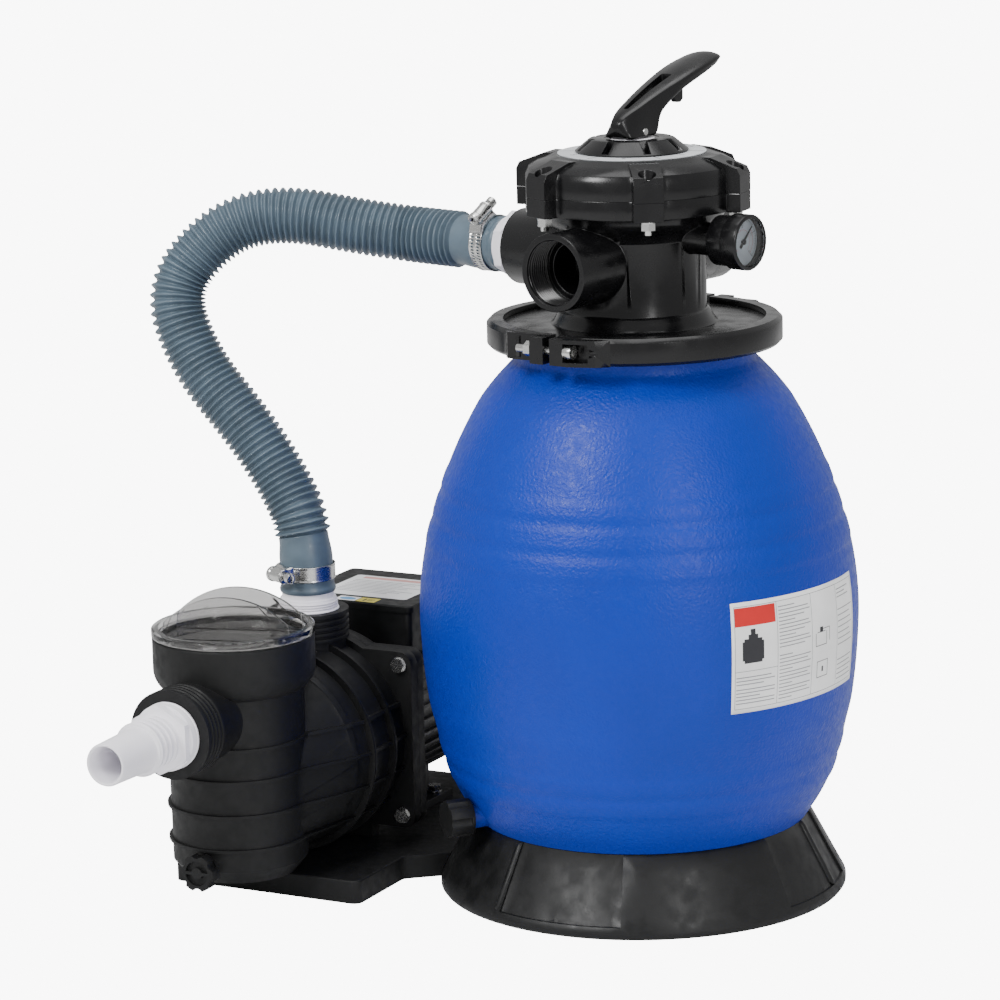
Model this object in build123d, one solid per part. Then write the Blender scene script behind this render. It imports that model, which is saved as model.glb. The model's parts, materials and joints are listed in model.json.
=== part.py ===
from build123d import *
import os
from math import cos, pi, radians, sin, tan

# Sand filter for a small pool: a blue tank on a round base, a six-way valve on top,
# and a pump beside it on a platform, joined to the valve by a corrugated hose.
# Millimetres, +Z up. The origin is the tank's axis at the floor. The pump's axis runs
# along Y, with its inlet towards -Y, and the platform's edges run along X and Y.

os.makedirs("parts", exist_ok=True)

# ---- driving dimensions -------------------------------------------------------------
FIT = 0.05            # radial clearance of a running fit
GAP = 0.3             # space between parts that move past each other

TANK_R = 165.0        # 13 inch tank, at its widest
TANK_WALL = 5.0
BELLY_Z = 225.0       # height of the widest section
SEAT_Z = 57.0         # the tank's shoulder rests on the base here
NECK_R = 89.0
NECK_BORE = 84.0
JOINT_Z = 426.0       # tank flange and valve flange meet here
FLANGE_R = 103.5
DRAIN_ANGLE = -130.0
DRAIN_Z = 68.0

BASE_R = 154.5
BASE_TOP_R = 125.0
BASE_WALL = 4.5
PANEL_HALF_ANGLE = 19.0
PANEL_DEPTH = 2.2

RING_R = 110.0        # clamp ring
RING_BOTTOM = 416.0
RING_TOP = 436.0
RING_SPLIT = -98.5    # direction of the first gap
CLAMP_BOLT_R = 110.5  # distance of the clamp bolts from the tank's axis

VALVE_TURN = -12.0    # the valve is turned this much against the platform
BODY_R = 54.0
PORT_Z = 480.0
PORT_REACH = 96.0     # open ports' faces from the valve's axis
HOSE_PORT_REACH = 104.5
PORT_R = 28.8
PORT_THREAD_R = 24.0  # 1 1/2 inch pipe thread
PORT_BORE_R = 19.0
THREAD_DEPTH = 25.0
RIM_R = 79.0
RIM_Z = 517.0
LID_Z = 531.0
DOME_Z = 557.4
BOSS_R = 89.0
BOSS_WIDTH = 22.0
BOSS_ANGLE = 15.0     # first boss, before the valve is turned
VALVE_BOLT_R = 81.0
CONE_TOP = 568.0
STEM_R = 9.0
PIN_Z = 573.0
PIN_R = 2.5
ROTOR_R = 57.0

GAUGE_Z = 498.0
GAUGE_FACE = 107.0
BEZEL_R = 20.5
CASE_R = 18.5
NEEDLE_ANGLE = 45.0   # the needle at rest, from level, seen from the front

PUMP_X = -260.0
PUMP_Z = 99.0         # motor axis
VOLUTE_R = 76.0
VOLUTE_RING_R = 81.0
POT_Y = -161.0
POT_R = 52.0
POT_BOTTOM = 23.0
COLLAR_R = 61.0
COLLAR_TOP = 206.0
LID_BORE = 55.0
INLET_Z = 150.0
INLET_FACE = -255.0
INLET_R = 33.6
OUTLET_Y = -48.0
OUTLET_TOP = 200.0
OUTLET_R = 31.0
PLUG_Z = 36.0
MOTOR_R = 60.0
MOTOR_END = 150.0
SHAFT_R = 7.0
FLANGE_HALF_X = 83.0   # wet end flange: two ears each side of a round rim
FLANGE_HALF_Z = 70.0
FLANGE_RIM_R = 81.0
FLANGE_BOLT_X = 73.0
FLANGE_BOLT_Z = 60.0

PLATFORM_TOP = 18.0
PLATFORM_LEFT = -330.0
PLATFORM_RIGHT = -168.0
PLATFORM_FRONT = -146.0
PLATFORM_BACK = 150.0

BARB_R = 18.8         # the hose slides over these
HOSE_R = 22.0
HOSE_BORE = 19.0
CUFF_R = 20.8
CUFF_LENGTH = 26.0
BARB_LENGTH = 24.0
BAND_START = 10.0          # clamp band, from the hose end
VALVE_BARB_START = 119.0   # hose end, from the valve's axis
PUMP_BARB_START = 214.0    # hose end, height

VALVE_CLAMP_TURN = -30.0
PUMP_CLAMP_TURN = 155.0
LID_TURN = 14.0            # the clear lid, as screwed home
FOOT_BOLTS = [(PUMP_X - 39, 44), (PUMP_X + 39, 44), (PUMP_X - 39, 76), (PUMP_X + 39, 76)]

BOX_X0, BOX_X1 = -314.0, -203.0      # switch box
BOX_Y0, BOX_Y1 = 12.0, 117.0
BOX_BOTTOM, BOX_LID_Z, BOX_TOP = 153.0, 186.5, 192.0

PUMP = Location(Plane((PUMP_X, 0, PUMP_Z), x_dir=(1, 0, 0), z_dir=(0, 1, 0)))
POT = Location((PUMP_X, POT_Y, 0))
INLET = Location(Plane((PUMP_X, 0, INLET_Z), x_dir=(1, 0, 0), z_dir=(0, -1, 0)))
OUTLET = Location((PUMP_X, OUTLET_Y, 0))
PLUG = Location(Plane((PUMP_X, 0, PLUG_Z), x_dir=(1, 0, 0), z_dir=(0, -1, 0)))
VALVE = Location((0, 0, 0), (0, 0, VALVE_TURN))


# ---- helpers --------------------------------------------------------------------------
def save(node, *shapes):
    """Writes one node: every solid of the given shapes, in one STEP file."""
    solids = [solid for shape in shapes for solid in shape.solids()]
    whole = solids[0] if len(solids) == 1 else Compound(children=solids)
    whole.label = node
    export_step(whole, f"parts/{node}.step")


def disc(radius, bottom, top):
    return extrude(Plane.XY.offset(bottom) * Circle(radius), top - bottom)


def ring(outer, inner, bottom, top):
    return extrude(Plane.XY.offset(bottom) * (Circle(outer) - Circle(inner)), top - bottom)


def block(x0, x1, y0, y1, z0, z1):
    return Location(((x0 + x1) / 2, (y0 + y1) / 2, (z0 + z1) / 2)) * Box(
        x1 - x0, y1 - y0, z1 - z0
    )


def turned(*points):
    """Solid of revolution about Z, from a closed outline of (radius, height) points."""
    return revolve(Plane.XZ * make_face(Polyline(*points, close=True)), Axis.Z)


def around(shape, angles):
    """Copies of a shape turned about Z to each angle."""
    return [Location((0, 0, 0), (0, 0, angle)) * shape for angle in angles]


def torus(radius, thickness, height):
    return Location((0, 0, height)) * Torus(radius, thickness)


def hexagon(across_flats, bottom, top):
    corner = across_flats / 2 / cos(radians(30))
    return extrude(Plane.XY.offset(bottom) * RegularPolygon(corner, 6), top - bottom)


def outward(angle, height):
    """Frame whose Z points level, away from the tank's axis, at the given angle."""
    direction = (cos(radians(angle)), sin(radians(angle)), 0)
    side = (-sin(radians(angle)), cos(radians(angle)), 0)
    return Location(Plane((0, 0, height), x_dir=side, z_dir=direction))


PORT_A = outward(-90, PORT_Z)     # open return port
PORT_B = outward(180, PORT_Z)     # hose port
PORT_C = outward(90, PORT_Z)      # waste port
GAUGE = outward(0, GAUGE_Z)
BOSSES = [BOSS_ANGLE + 60 * k for k in range(6)]


# ---- base and platform ----------------------------------------------------------------
def skirt_cone(offset):
    """The base's outer cone, grown by an offset, from the floor to its top."""
    return turned(
        (0, 0), (BASE_R - 1.5 + offset, 0), (BASE_R + offset, 2), (BASE_R + offset, 5),
        (BASE_TOP_R + 3 + offset, SEAT_Z - 2), (BASE_TOP_R + offset, SEAT_Z), (0, SEAT_Z),
    )


def tank_base():
    hollow = turned(
        (0, -1), (BASE_R - BASE_WALL, -1), (BASE_R - BASE_WALL, 5),
        (BASE_TOP_R - BASE_WALL, SEAT_Z - 4), (BASE_TOP_R - BASE_WALL, SEAT_Z + 1),
        (0, SEAT_Z + 1),
    )
    panel_band = turned(
        (BASE_R + 5, 9), (BASE_R - 2 - PANEL_DEPTH, 9),
        (BASE_TOP_R + 2.4 - PANEL_DEPTH, SEAT_Z - 0.5), (BASE_TOP_R + 8, SEAT_Z - 0.5),
    )
    reach = 2 * BASE_R
    half_width = reach * tan(radians(PANEL_HALF_ANGLE))
    wedge = extrude(
        make_face(Polyline((0, 0), (reach, -half_width), (reach, half_width), close=True)),
        SEAT_Z,
    )
    shell = skirt_cone(0) - hollow
    for sector in around(wedge, (0, 90, 180, 270)):
        shell -= panel_band & sector
    web = block(0, BASE_R, -2, 2, 0, 11)
    webs = Part() + around(web, range(0, 360, 45))
    webs += disc(30, 0, 11)
    return shell + (webs & skirt_cone(-2))


def pump_platform():
    outline = Polyline(
        (PLATFORM_RIGHT, PLATFORM_FRONT), (PLATFORM_LEFT, PLATFORM_FRONT),
        (PLATFORM_LEFT, PLATFORM_BACK), (PLATFORM_RIGHT, PLATFORM_BACK),
        (PLATFORM_RIGHT, 75), (-130, 44), (-130, -44), (PLATFORM_RIGHT, -75), close=True,
    )
    plate = extrude(make_face(outline), PLATFORM_TOP)
    corners = plate.edges().filter_by(Axis.Z).filter_by_position(
        Axis.X, PLATFORM_LEFT - 1, PLATFORM_RIGHT + 1
    )
    plate = fillet(corners, 7)
    plate = fillet(plate.faces().sort_by(Axis.Z)[-1].edges(), 1.5)
    bays = (PLATFORM_BACK - PLATFORM_FRONT - 8) / 4
    for row in range(4):
        for column in range(2):
            x0 = PLATFORM_LEFT + 5 + column * 79
            y0 = PLATFORM_FRONT + 6 + row * bays
            plate -= block(x0, x0 + 74, y0, y0 + bays - 4, -1, PLATFORM_TOP - 4)
    for x, y in FOOT_BOLTS:
        plate += Location((x, y, 0)) * disc(7, 0, PLATFORM_TOP)
        plate -= Location((x, y, 0)) * disc(3.1, -1, PLATFORM_TOP + 1)
    return plate - skirt_cone(GAP)


# ---- tank -----------------------------------------------------------------------------
def tank_body(inset):
    """The tank's solid form, drawn in by an inset: shoulder, belly, taper and neck."""
    foot_r = 118.5 - inset
    wall = Spline(
        (126 - inset, SEAT_Z + inset), (145 - inset, 91), (160 - inset, 148),
        (TANK_R - inset, BELLY_Z), (150.5 - inset, 298), (117.7 - inset, 372),
        (NECK_R + 3 - inset, 403 - 0.5 * inset),
        tangents=((0.75, 1), (-1, 0.62)),
    )
    neck = Polyline(
        wall @ 1, (NECK_R - inset, 406), (NECK_R - inset, JOINT_Z), (0, JOINT_Z),
        (0, 16 + inset),
    )
    dome = ThreePointArc(
        (0, 16 + inset), (0.62 * foot_r, 22 + inset), (foot_r, 46 + inset / 2)
    )
    foot = Polyline(dome @ 1, (foot_r, SEAT_Z + inset), wall @ 0)
    return revolve(Plane.XZ * make_face([wall, neck, dome, foot]), Axis.Z)


def tank_shell():
    solid = tank_body(0)
    raised = tank_body(-1.0)
    for bottom, height in ((268, 15), (289, 15), (310, 13), (88, 13), (106, 13)):
        solid += raised & ring(TANK_R + 5, 80, bottom, bottom + height)
    solid += ring(FLANGE_R, NECK_R - 2, 420.3, JOINT_Z)
    drain = outward(DRAIN_ANGLE, DRAIN_Z)
    solid += drain * disc(9.2, 118, 150)
    solid -= tank_body(TANK_WALL)
    solid -= disc(NECK_BORE, 380, JOINT_Z + 1)
    solid -= ring(99, 93, JOINT_Z - 3.5, JOINT_Z + 1)
    return solid - drain * disc(6.5, 100, 151)


def tank_label():
    """Thin sheet wrapped on the belly."""
    bottom, top, centre, half_angle = 168, 250, -16.5, 24.5
    skin = tank_body(-0.45) - tank_body(-0.05)
    reach = 2 * TANK_R
    half_width = reach * tan(radians(half_angle))
    wedge = extrude(
        Plane.XY.offset(bottom)
        * make_face(Polyline((0, 0), (reach, -half_width), (reach, half_width), close=True)),
        top - bottom,
    )
    return skin & (Location((0, 0, 0), (0, 0, centre)) * wedge)


def drain_cap():
    cup = disc(14, 142.5, 161) - disc(9.6, 137, 152.6)
    for angle in range(0, 360, 60):
        flute = Location((16.4 * cos(radians(angle)), 16.4 * sin(radians(angle)), 0))
        cup -= flute * disc(4, 145, 162)
    return cup


# ---- clamp ring -----------------------------------------------------------------------
def clamp_halves():
    section = turned(
        (91, RING_BOTTOM), (RING_R - 2.5, RING_BOTTOM), (RING_R, RING_BOTTOM + 2.5),
        (RING_R, RING_TOP - 3), (RING_R - 3, RING_TOP), (97.7, RING_TOP),
        (97.7, JOINT_Z + 5.9), (FLANGE_R + 0.5, JOINT_Z + 5.9),
        (FLANGE_R + 0.5, RING_BOTTOM + 4.1), (91, RING_BOTTOM + 4.1),
    )
    keep_out = disc(FLANGE_R + 0.5, 400, 450)
    lug_outline = Polyline(
        (-46, -100), (-38, -(RING_R - 2)), (-20, -(RING_R + 5)),
        (20, -(RING_R + 5)), (38, -(RING_R - 2)), (46, -100), close=True,
    )
    lug = extrude(
        Plane.XY.offset(RING_BOTTOM) * make_face(lug_outline), RING_TOP - RING_BOTTOM - 0.5
    )
    lug -= keep_out
    bolt_way = Location(Plane((0, -CLAMP_BOLT_R, 426), x_dir=(0, 1, 0), z_dir=(1, 0, 0)))
    lug -= bolt_way * disc(3.2, -60, 60)
    lug -= block(14.5, 33, -140, -FLANGE_R - 1.2, 419, 432.5)
    lug -= block(-50, -14.5, -140, -FLANGE_R - 1.2, 400, 450) - disc(RING_R - 5.4, 400, 450)
    lug -= block(-2.9, 2.9, -140, -80, 400, 450)
    gap = block(-2.9, 2.9, -140, 140, 400, 450)
    whole = section - gap
    whole -= around(block(-30, 34, -140, -104.6, 400, 450), (0, 180))
    whole += around(lug, (0, 180))
    whole = Location((0, 0, 0), (0, 0, RING_SPLIT + 90)) * whole
    return whole.solids().sort_by(Axis.X)


def clamp_fasteners():
    """A socket screw and a nut across each gap of the clamp ring."""
    way = Location(Plane((0, -CLAMP_BOLT_R, 426), x_dir=(0, 0, 1), z_dir=(1, 0, 0)))
    head = disc(5.2, 14.5, 21) - hexagon(5, 17.5, 22)
    bolt = head + disc(3, -28, 15)
    nut = hexagon(10, -20, -14.5) - disc(3, -30, 0)
    pair = Location((0, 0, 0), (0, 0, RING_SPLIT + 90))
    sides = [Location((0, 0, 0), (0, 0, angle)) for angle in (0, 180)]
    return [pair * side * (way * part) for side in sides for part in (bolt, nut)]


# ---- valve ----------------------------------------------------------------------------
def valve_body():
    body = turned(
        (0, JOINT_Z), (FLANGE_R, JOINT_Z), (FLANGE_R, JOINT_Z + 5.7), (62, JOINT_Z + 5.7),
        (60, JOINT_Z + 8), (56, JOINT_Z + 15), (BODY_R, JOINT_Z + 16), (BODY_R, 496),
        (58, 502), (66, 508), (70, RIM_Z), (RIM_R, RIM_Z), (RIM_R, LID_Z), (0, LID_Z),
    )
    ports = ((PORT_A, PORT_REACH), (PORT_B, HOSE_PORT_REACH), (PORT_C, PORT_REACH))
    for place, reach in ports:
        body += place * disc(PORT_R, 30, reach)
    body += GAUGE * disc(12, 40, 80)
    boss = block(60, BOSS_R, -BOSS_WIDTH / 2, BOSS_WIDTH / 2, RIM_Z, LID_Z)
    body += around(boss, BOSSES)
    body -= disc(49, JOINT_Z - 1, 508)
    body += disc(24, JOINT_Z, 509)
    wall = block(20, 50, -1.5, 1.5, JOINT_Z, 509)
    body += around(wall, (45, 135, 225, 315))
    body -= disc(20.3, JOINT_Z - 1, 520)
    body -= disc(60, 516, LID_Z + 1)
    window = ring(46, 28, 500, 520) & block(0, 60, -14, 14, 490, 530)
    for angle in (-90, 180, 90):
        body -= Location((0, 0, 0), (0, 0, angle)) * window
    for place, reach in ports:
        body -= place * disc(PORT_BORE_R, 30, reach + 1)
        body -= place * disc(PORT_THREAD_R, reach - THREAD_DEPTH, reach + 1)
    body -= GAUGE * disc(5.1, 40, 81)
    body -= ring(68, 63, LID_Z - 3, LID_Z + 1)
    hole = Location((VALVE_BOLT_R, 0, 0)) * disc(3.2, RIM_Z - 1, LID_Z + 1)
    body -= around(hole, BOSSES)
    return VALVE * body


def valve_lid():
    lid = turned(
        (STEM_R + FIT, DOME_Z - 6.4), (26, DOME_Z - 6.4), (54, DOME_Z - 8.5), (60, 541),
        (60, LID_Z), (RIM_R, LID_Z), (RIM_R, 544), (76.5, 549), (70, 552.8),
        (57, DOME_Z), (37, DOME_Z), (23, CONE_TOP), (17.2, CONE_TOP), (17.2, CONE_TOP - 2),
        (STEM_R + FIT, CONE_TOP - 2),
    )
    profile = Polyline(
        (60, LID_Z), (BOSS_R, LID_Z), (BOSS_R, 544), (86.5, 549), (66, 556.6), (60, 556.6),
        close=True,
    )
    boss = extrude(Plane.XZ * make_face(profile), BOSS_WIDTH / 2, both=True)
    boss -= turned((0, 520), (59.9, 520), (59.9, 541), (58, 550), (0, 551))
    lid += around(boss, BOSSES)
    bolt_hole = disc(3.2, LID_Z - 1, 560) + disc(6.4, 541, 565)
    lid -= around(Location((VALVE_BOLT_R, 0, 0)) * bolt_hole, BOSSES)
    notch = Location((0, 0, 2)) * block(24, 40, -3.2, 3.2, DOME_Z, CONE_TOP + 4)
    lid -= around(notch, [30 + 60 * k for k in range(6)])
    return VALVE * lid


def lid_fasteners():
    """Six screws down through the lid, with washers and nuts under the rim."""
    head = disc(5, 541, 546) - hexagon(5, 543, 547)
    bolt = head + disc(3, RIM_Z - 10, 542)
    nut = hexagon(10, RIM_Z - 6.5, RIM_Z - 1.2) + disc(5.6, RIM_Z - 1.2, RIM_Z)
    nut -= disc(3, 500, 530)
    offset = Location((VALVE_BOLT_R, 0, 0))
    parts = []
    for part in (bolt, nut):
        parts += [VALVE * piece for piece in around(offset * part, BOSSES)]
    return parts


def spider_gasket():
    gasket = ring(57, 51, 516, 519) + ring(27, 22, 516, 519)
    spoke = block(24, 54, -2, 2, 516, 519)
    return VALVE * (gasket + around(spoke, (45, 135, 225, 315)))


def position_disc():
    return VALVE * ring(55, 38, DOME_Z, DOME_Z + 0.9)


def valve_rotor():
    rotor = disc(ROTOR_R, 519 + GAP, 529) - ring(44, 14, 518, 525)
    rotor += block(12, 46, -3, 3, 519 + GAP, 527) + block(-46, -12, -3, 3, 519 + GAP, 527)
    rotor -= Location((0, -34, 0)) * disc(9, 515, 530)
    rotor += disc(STEM_R, 528, PIN_Z + 7)
    return VALVE * (rotor - cross_pin(PIN_R, 20))


def cross_pin(radius, half_length):
    across = Location(Plane((0, 0, PIN_Z), x_dir=(0, 1, 0), z_dir=(1, 0, 0)))
    return across * disc(radius, -half_length, half_length)


def rotor_spring():
    coil = Helix(pitch=6.0, height=17.0, radius=18.0)
    wire = sweep(Plane(coil @ 0, z_dir=coil % 0) * Circle(1.5), path=coil, is_frenet=True)
    return Location((0, 0, 531.2)) * wire


def valve_handle():
    """Cranked handle: neck over the stem, curved grip with a round end, slot on top."""
    side = make_face([
        Polyline((-19, CONE_TOP + 0.4), (15.5, CONE_TOP + 0.4), (15.7, 577)),
        Spline((15.7, 577), (19, 585), (35, 595), (59, 605.3), (84, 613.5),
               tangents=((0, 1), (1, 0.3))),
        Polyline((84, 613.5), (96.5, 618.5)),
        Spline((96.5, 618.5), (88, 622.6), (59, 616), (28, 605), (3.4, 594.3), (-21, 581),
               tangents=((-0.2, 1), (-1, -0.5))),
        Polyline((-21, 581), (-19, CONE_TOP + 0.4)),
    ])
    handle = extrude(Plane.YZ * side, 17, both=True)
    plan = make_face([
        Polyline((-13.6, 20), (-13.6, -22), (13.6, -22), (13.6, 20), (17, 62), (17, 80)),
        ThreePointArc((17, 80), (0, 97), (-17, 80)),
        Polyline((-17, 80), (-17, 62), (-13.6, 20)),
    ])
    handle &= extrude(plan, 700)
    slot = Plane.XY.offset(560) * make_face(
        Polyline((-2, -7), (2, -7), (4.8, 44), (-4.8, 44), close=True)
    )
    above = extrude(Plane.YZ * make_face(
        Polyline((-10, 584), (50, 605), (50, 660), (-10, 660), close=True)
    ), 20, both=True)
    handle -= extrude(slot, 100) & above
    trigger = make_face(Polyline((48, 604), (49, 592.5), (53, 588.7), (57.5, 588.3), (61, 590.6),
                                 (61, 608), close=True))
    handle += extrude(Plane.YZ * trigger, 2.5, both=True)
    handle -= block(-STEM_R - GAP, STEM_R + GAP, -12, 12, 560, PIN_Z + 12.5)
    handle -= cross_pin(PIN_R + FIT, 30)
    return VALVE * handle


# ---- gauge ----------------------------------------------------------------------------
def gauge_case():
    case = disc(CASE_R, 80, 97.8) - disc(16.5, 83, 99)
    case += disc(5, 55, 81)
    return VALVE * (GAUGE * case)


def gauge_bezel():
    return VALVE * (GAUGE * turned(
        (CASE_R + 0.1, 93), (BEZEL_R - 1, 93), (BEZEL_R, 94), (BEZEL_R, GAUGE_FACE - 1),
        (BEZEL_R - 1, GAUGE_FACE), (17.6, GAUGE_FACE), (17.6, GAUGE_FACE - 1),
        (CASE_R + 0.1, GAUGE_FACE - 1),
    ))


def gauge_dial():
    return VALVE * (GAUGE * (disc(18.3, 97.9, 98.7) - disc(1.2, 97, 99)))


def gauge_lens():
    return VALVE * (GAUGE * disc(18.4, GAUGE_FACE - 2.7, GAUGE_FACE - 1.1))


def gauge_needle():
    """Pointer with a tail, on a short arbor through the dial."""
    outline = Polyline((-5.5, -1.1), (0, -1), (14.5, -0.25), (14.5, 0.25), (0, 1),
                       (-5.5, 1.1), close=True)
    pointer = extrude(Plane.XY.offset(99.6) * make_face(outline), 0.6)
    needle = pointer + disc(2, 99.4, 101) + disc(0.9, 88, 100)
    return VALVE * (GAUGE * (Location((0, 0, 0), (0, 0, NEEDLE_ANGLE)) * needle))


# ---- hose and adapters ----------------------------------------------------------------
def hose_adapter_valve():
    """Threaded into the hose port: thread, hexagon, spigot."""
    start = HOSE_PORT_REACH
    adapter = disc(PORT_THREAD_R - 0.2, start - 16, start) + disc(26, start, start + 3)
    adapter += hexagon(46, start + 3, VALVE_BARB_START - 3)
    adapter += disc(21.5, VALVE_BARB_START - 3, VALVE_BARB_START)
    adapter += disc(BARB_R, VALVE_BARB_START, VALVE_BARB_START + BARB_LENGTH)
    adapter -= disc(15, start - 20, VALVE_BARB_START + 40)
    return VALVE * (PORT_B * adapter)


def hose_adapter_pump():
    adapter = disc(PORT_THREAD_R - 0.2, OUTLET_TOP - 16, OUTLET_TOP)
    adapter += disc(23, OUTLET_TOP, OUTLET_TOP + 6)
    adapter += disc(21.8, OUTLET_TOP + 6, OUTLET_TOP + 9)
    adapter += disc(20, OUTLET_TOP + 9, PUMP_BARB_START)
    adapter += disc(BARB_R, PUMP_BARB_START, PUMP_BARB_START + BARB_LENGTH)
    adapter -= disc(15, OUTLET_TOP - 20, PUMP_BARB_START + 40)
    return OUTLET * adapter


def suction_adapter():
    """Stepped spigot at the pump's inlet, for a 38 mm or a 32 mm hose."""
    face = -INLET_FACE
    outline = [
        (13.2, face - 17), (PORT_THREAD_R - 0.2, face - 17), (PORT_THREAD_R - 0.2, face),
        (25.5, face), (25.5, face + 9), (22.5, face + 10), (22.5, face + 16),
        (19.0, face + 16.5), (19.0, face + 42), (17.2, face + 46), (15.9, face + 47),
        (15.9, face + 86), (15.2, face + 88), (13.2, face + 88),
    ]
    adapter = turned(*outline)
    adapter += hexagon(46, face + 9, face + 16) - disc(20, face, face + 20)
    return INLET * adapter


HOSE_ROUTE = [
    (-185.85, 39.50, 480.0),
    (-240.0, 25.0, 487.0),
    (-307.0, 9.0, 499.0),
    (-350.0, -13.0, 486.0),
    (-382.0, -37.0, 441.0),
    (-357.0, -43.0, 386.0),
    (-310.0, -42.0, 336.0),
    (-280.0, -42.0, 295.0),
    (-260.0, -48.0, 262.0),
]


def hose_start():
    point = VALVE * PORT_B * Location((0, 0, VALVE_BARB_START))
    return tuple(point.position)


def hose_path():
    """Straight runs joined by tangent arcs, as large as each pair of runs allows."""
    points = [Vector(*p) for p in [hose_start(), *HOSE_ROUTE]]
    points.append(Vector(PUMP_X, OUTLET_Y, PUMP_BARB_START))
    radii = []
    for before, here, after in zip(points, points[1:], points[2:]):
        turn = radians((here - before).get_angle(after - here))
        shorter = min((here - before).length, (after - here).length)
        radii.append(0.45 * shorter / tan(turn / 2))
    print("hose radii, mm:", [round(radius) for radius in radii])
    return FilletPolyline(*points, radius=radii)


def hose():
    path = hose_path()
    section = Plane(path @ 0, z_dir=path % 0) * (Circle(HOSE_R) - Circle(HOSE_BORE))
    tube = sweep(section, path=path)
    expected = pi * (HOSE_R**2 - HOSE_BORE**2) * path.length
    print("hose length, mm:", round(path.length), "volume ratio:", round(tube.volume / expected, 4))
    trim = ring(HOSE_R + 3, CUFF_R, 0, CUFF_LENGTH)
    tube -= Location(Plane(path @ 0, z_dir=path % 0)) * trim
    tube -= Location(Plane(path @ 1, z_dir=-(path % 1))) * trim
    return tube


def clamp_band():
    """Worm-drive clamp in its own frame: band about Z, screw housing towards +Y."""
    band = ring(CUFF_R + 0.9, CUFF_R + 0.1, 0, 12)
    housing = block(-8, 8, CUFF_R + 0.2, CUFF_R + 11.5, 0.5, 11.5)
    housing -= band_screw_way() * disc(4.2, -9, 9)
    return band + (housing - disc(CUFF_R + 0.1, -1, 13))


def band_screw_way():
    return Location(Plane((0, CUFF_R + 6.2, 6), x_dir=(0, 1, 0), z_dir=(1, 0, 0)))


def clamp_screw():
    screw = disc(3.9, -12, 7.5) + hexagon(8, -17, -11)
    slot = block(-5, 5, -0.6, 0.6, -18, -15)
    return band_screw_way() * (screw - slot)


def valve_clamp_place():
    """The valve-side clamp leans 30 degrees towards the front, over the hose."""
    return VALVE * PORT_B * Location(
        (0, 0, VALVE_BARB_START + BAND_START), (0, 0, VALVE_CLAMP_TURN)
    )


def pump_clamp_place():
    return OUTLET * Location((0, 0, PUMP_BARB_START + BAND_START), (0, 0, PUMP_CLAMP_TURN))


# ---- pump, wet end ----------------------------------------------------------------------
def pot_form(offset):
    return POT * turned(
        (0, POT_BOTTOM), (42 + offset, POT_BOTTOM), (POT_R - 1 + offset, POT_BOTTOM + 11),
        (POT_R + offset, 170), (0, 170),
    )


def volute_form(offset):
    """The round body behind the pot, and the throat that the two share."""
    drum = PUMP * turned(
        (0, -112), (VOLUTE_R - 4 + offset, -112), (VOLUTE_R + offset, -96),
        (VOLUTE_R + offset, -38), (0, -38),
    )
    wide, tall = 2 * (POT_R - 2 + offset), 2 * (50 + offset)
    pot_end = Plane((0, 18, POT_Y)) * RectangleRounded(wide, tall, 34)
    drum_end = Plane((0, 0, -108)) * Circle(VOLUTE_R - 2 + offset)
    return drum + PUMP * loft([pot_end, drum_end])


def wet_flange(front, back):
    """Round rim with four bolt ears."""
    plate = disc(FLANGE_RIM_R, front, back)
    plate += extrude(
        Plane.XY.offset(front) * RectangleRounded(2 * FLANGE_HALF_X, 2 * FLANGE_HALF_Z, 10),
        back - front,
    )
    for x in (-FLANGE_BOLT_X, FLANGE_BOLT_X):
        for z in (-FLANGE_BOLT_Z, FLANGE_BOLT_Z):
            plate -= Location((x, z, 0)) * disc(3.4, front - 1, back + 1)
    return plate


def thread_ridges(radius, start, count, pitch=4.6, depth=1.8):
    """Grooves that turn a plain collar into a coarse threaded one."""
    grooves = [
        turned(
            (radius + 1, start + k * pitch), (radius - depth, start + k * pitch + 1.2),
            (radius - depth, start + k * pitch + 2.2), (radius + 1, start + k * pitch + 3.4),
        )
        for k in range(count)
    ]
    return Part() + grooves


def pot_collar():
    """Threaded mouth of the strainer pot, with a rounded shoulder under it."""
    outline = make_face([
        Polyline((0, 150), (POT_R, 160), (POT_R, 165)),
        ThreePointArc((POT_R, 165), (58, 171), (COLLAR_R, 182)),
        Polyline(
            (COLLAR_R, 182), (COLLAR_R, COLLAR_TOP - 1.5), (COLLAR_R - 1.5, COLLAR_TOP),
            (0, COLLAR_TOP), (0, 150),
        ),
    ])
    return revolve(Plane.XZ * outline, Axis.Z)


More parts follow.
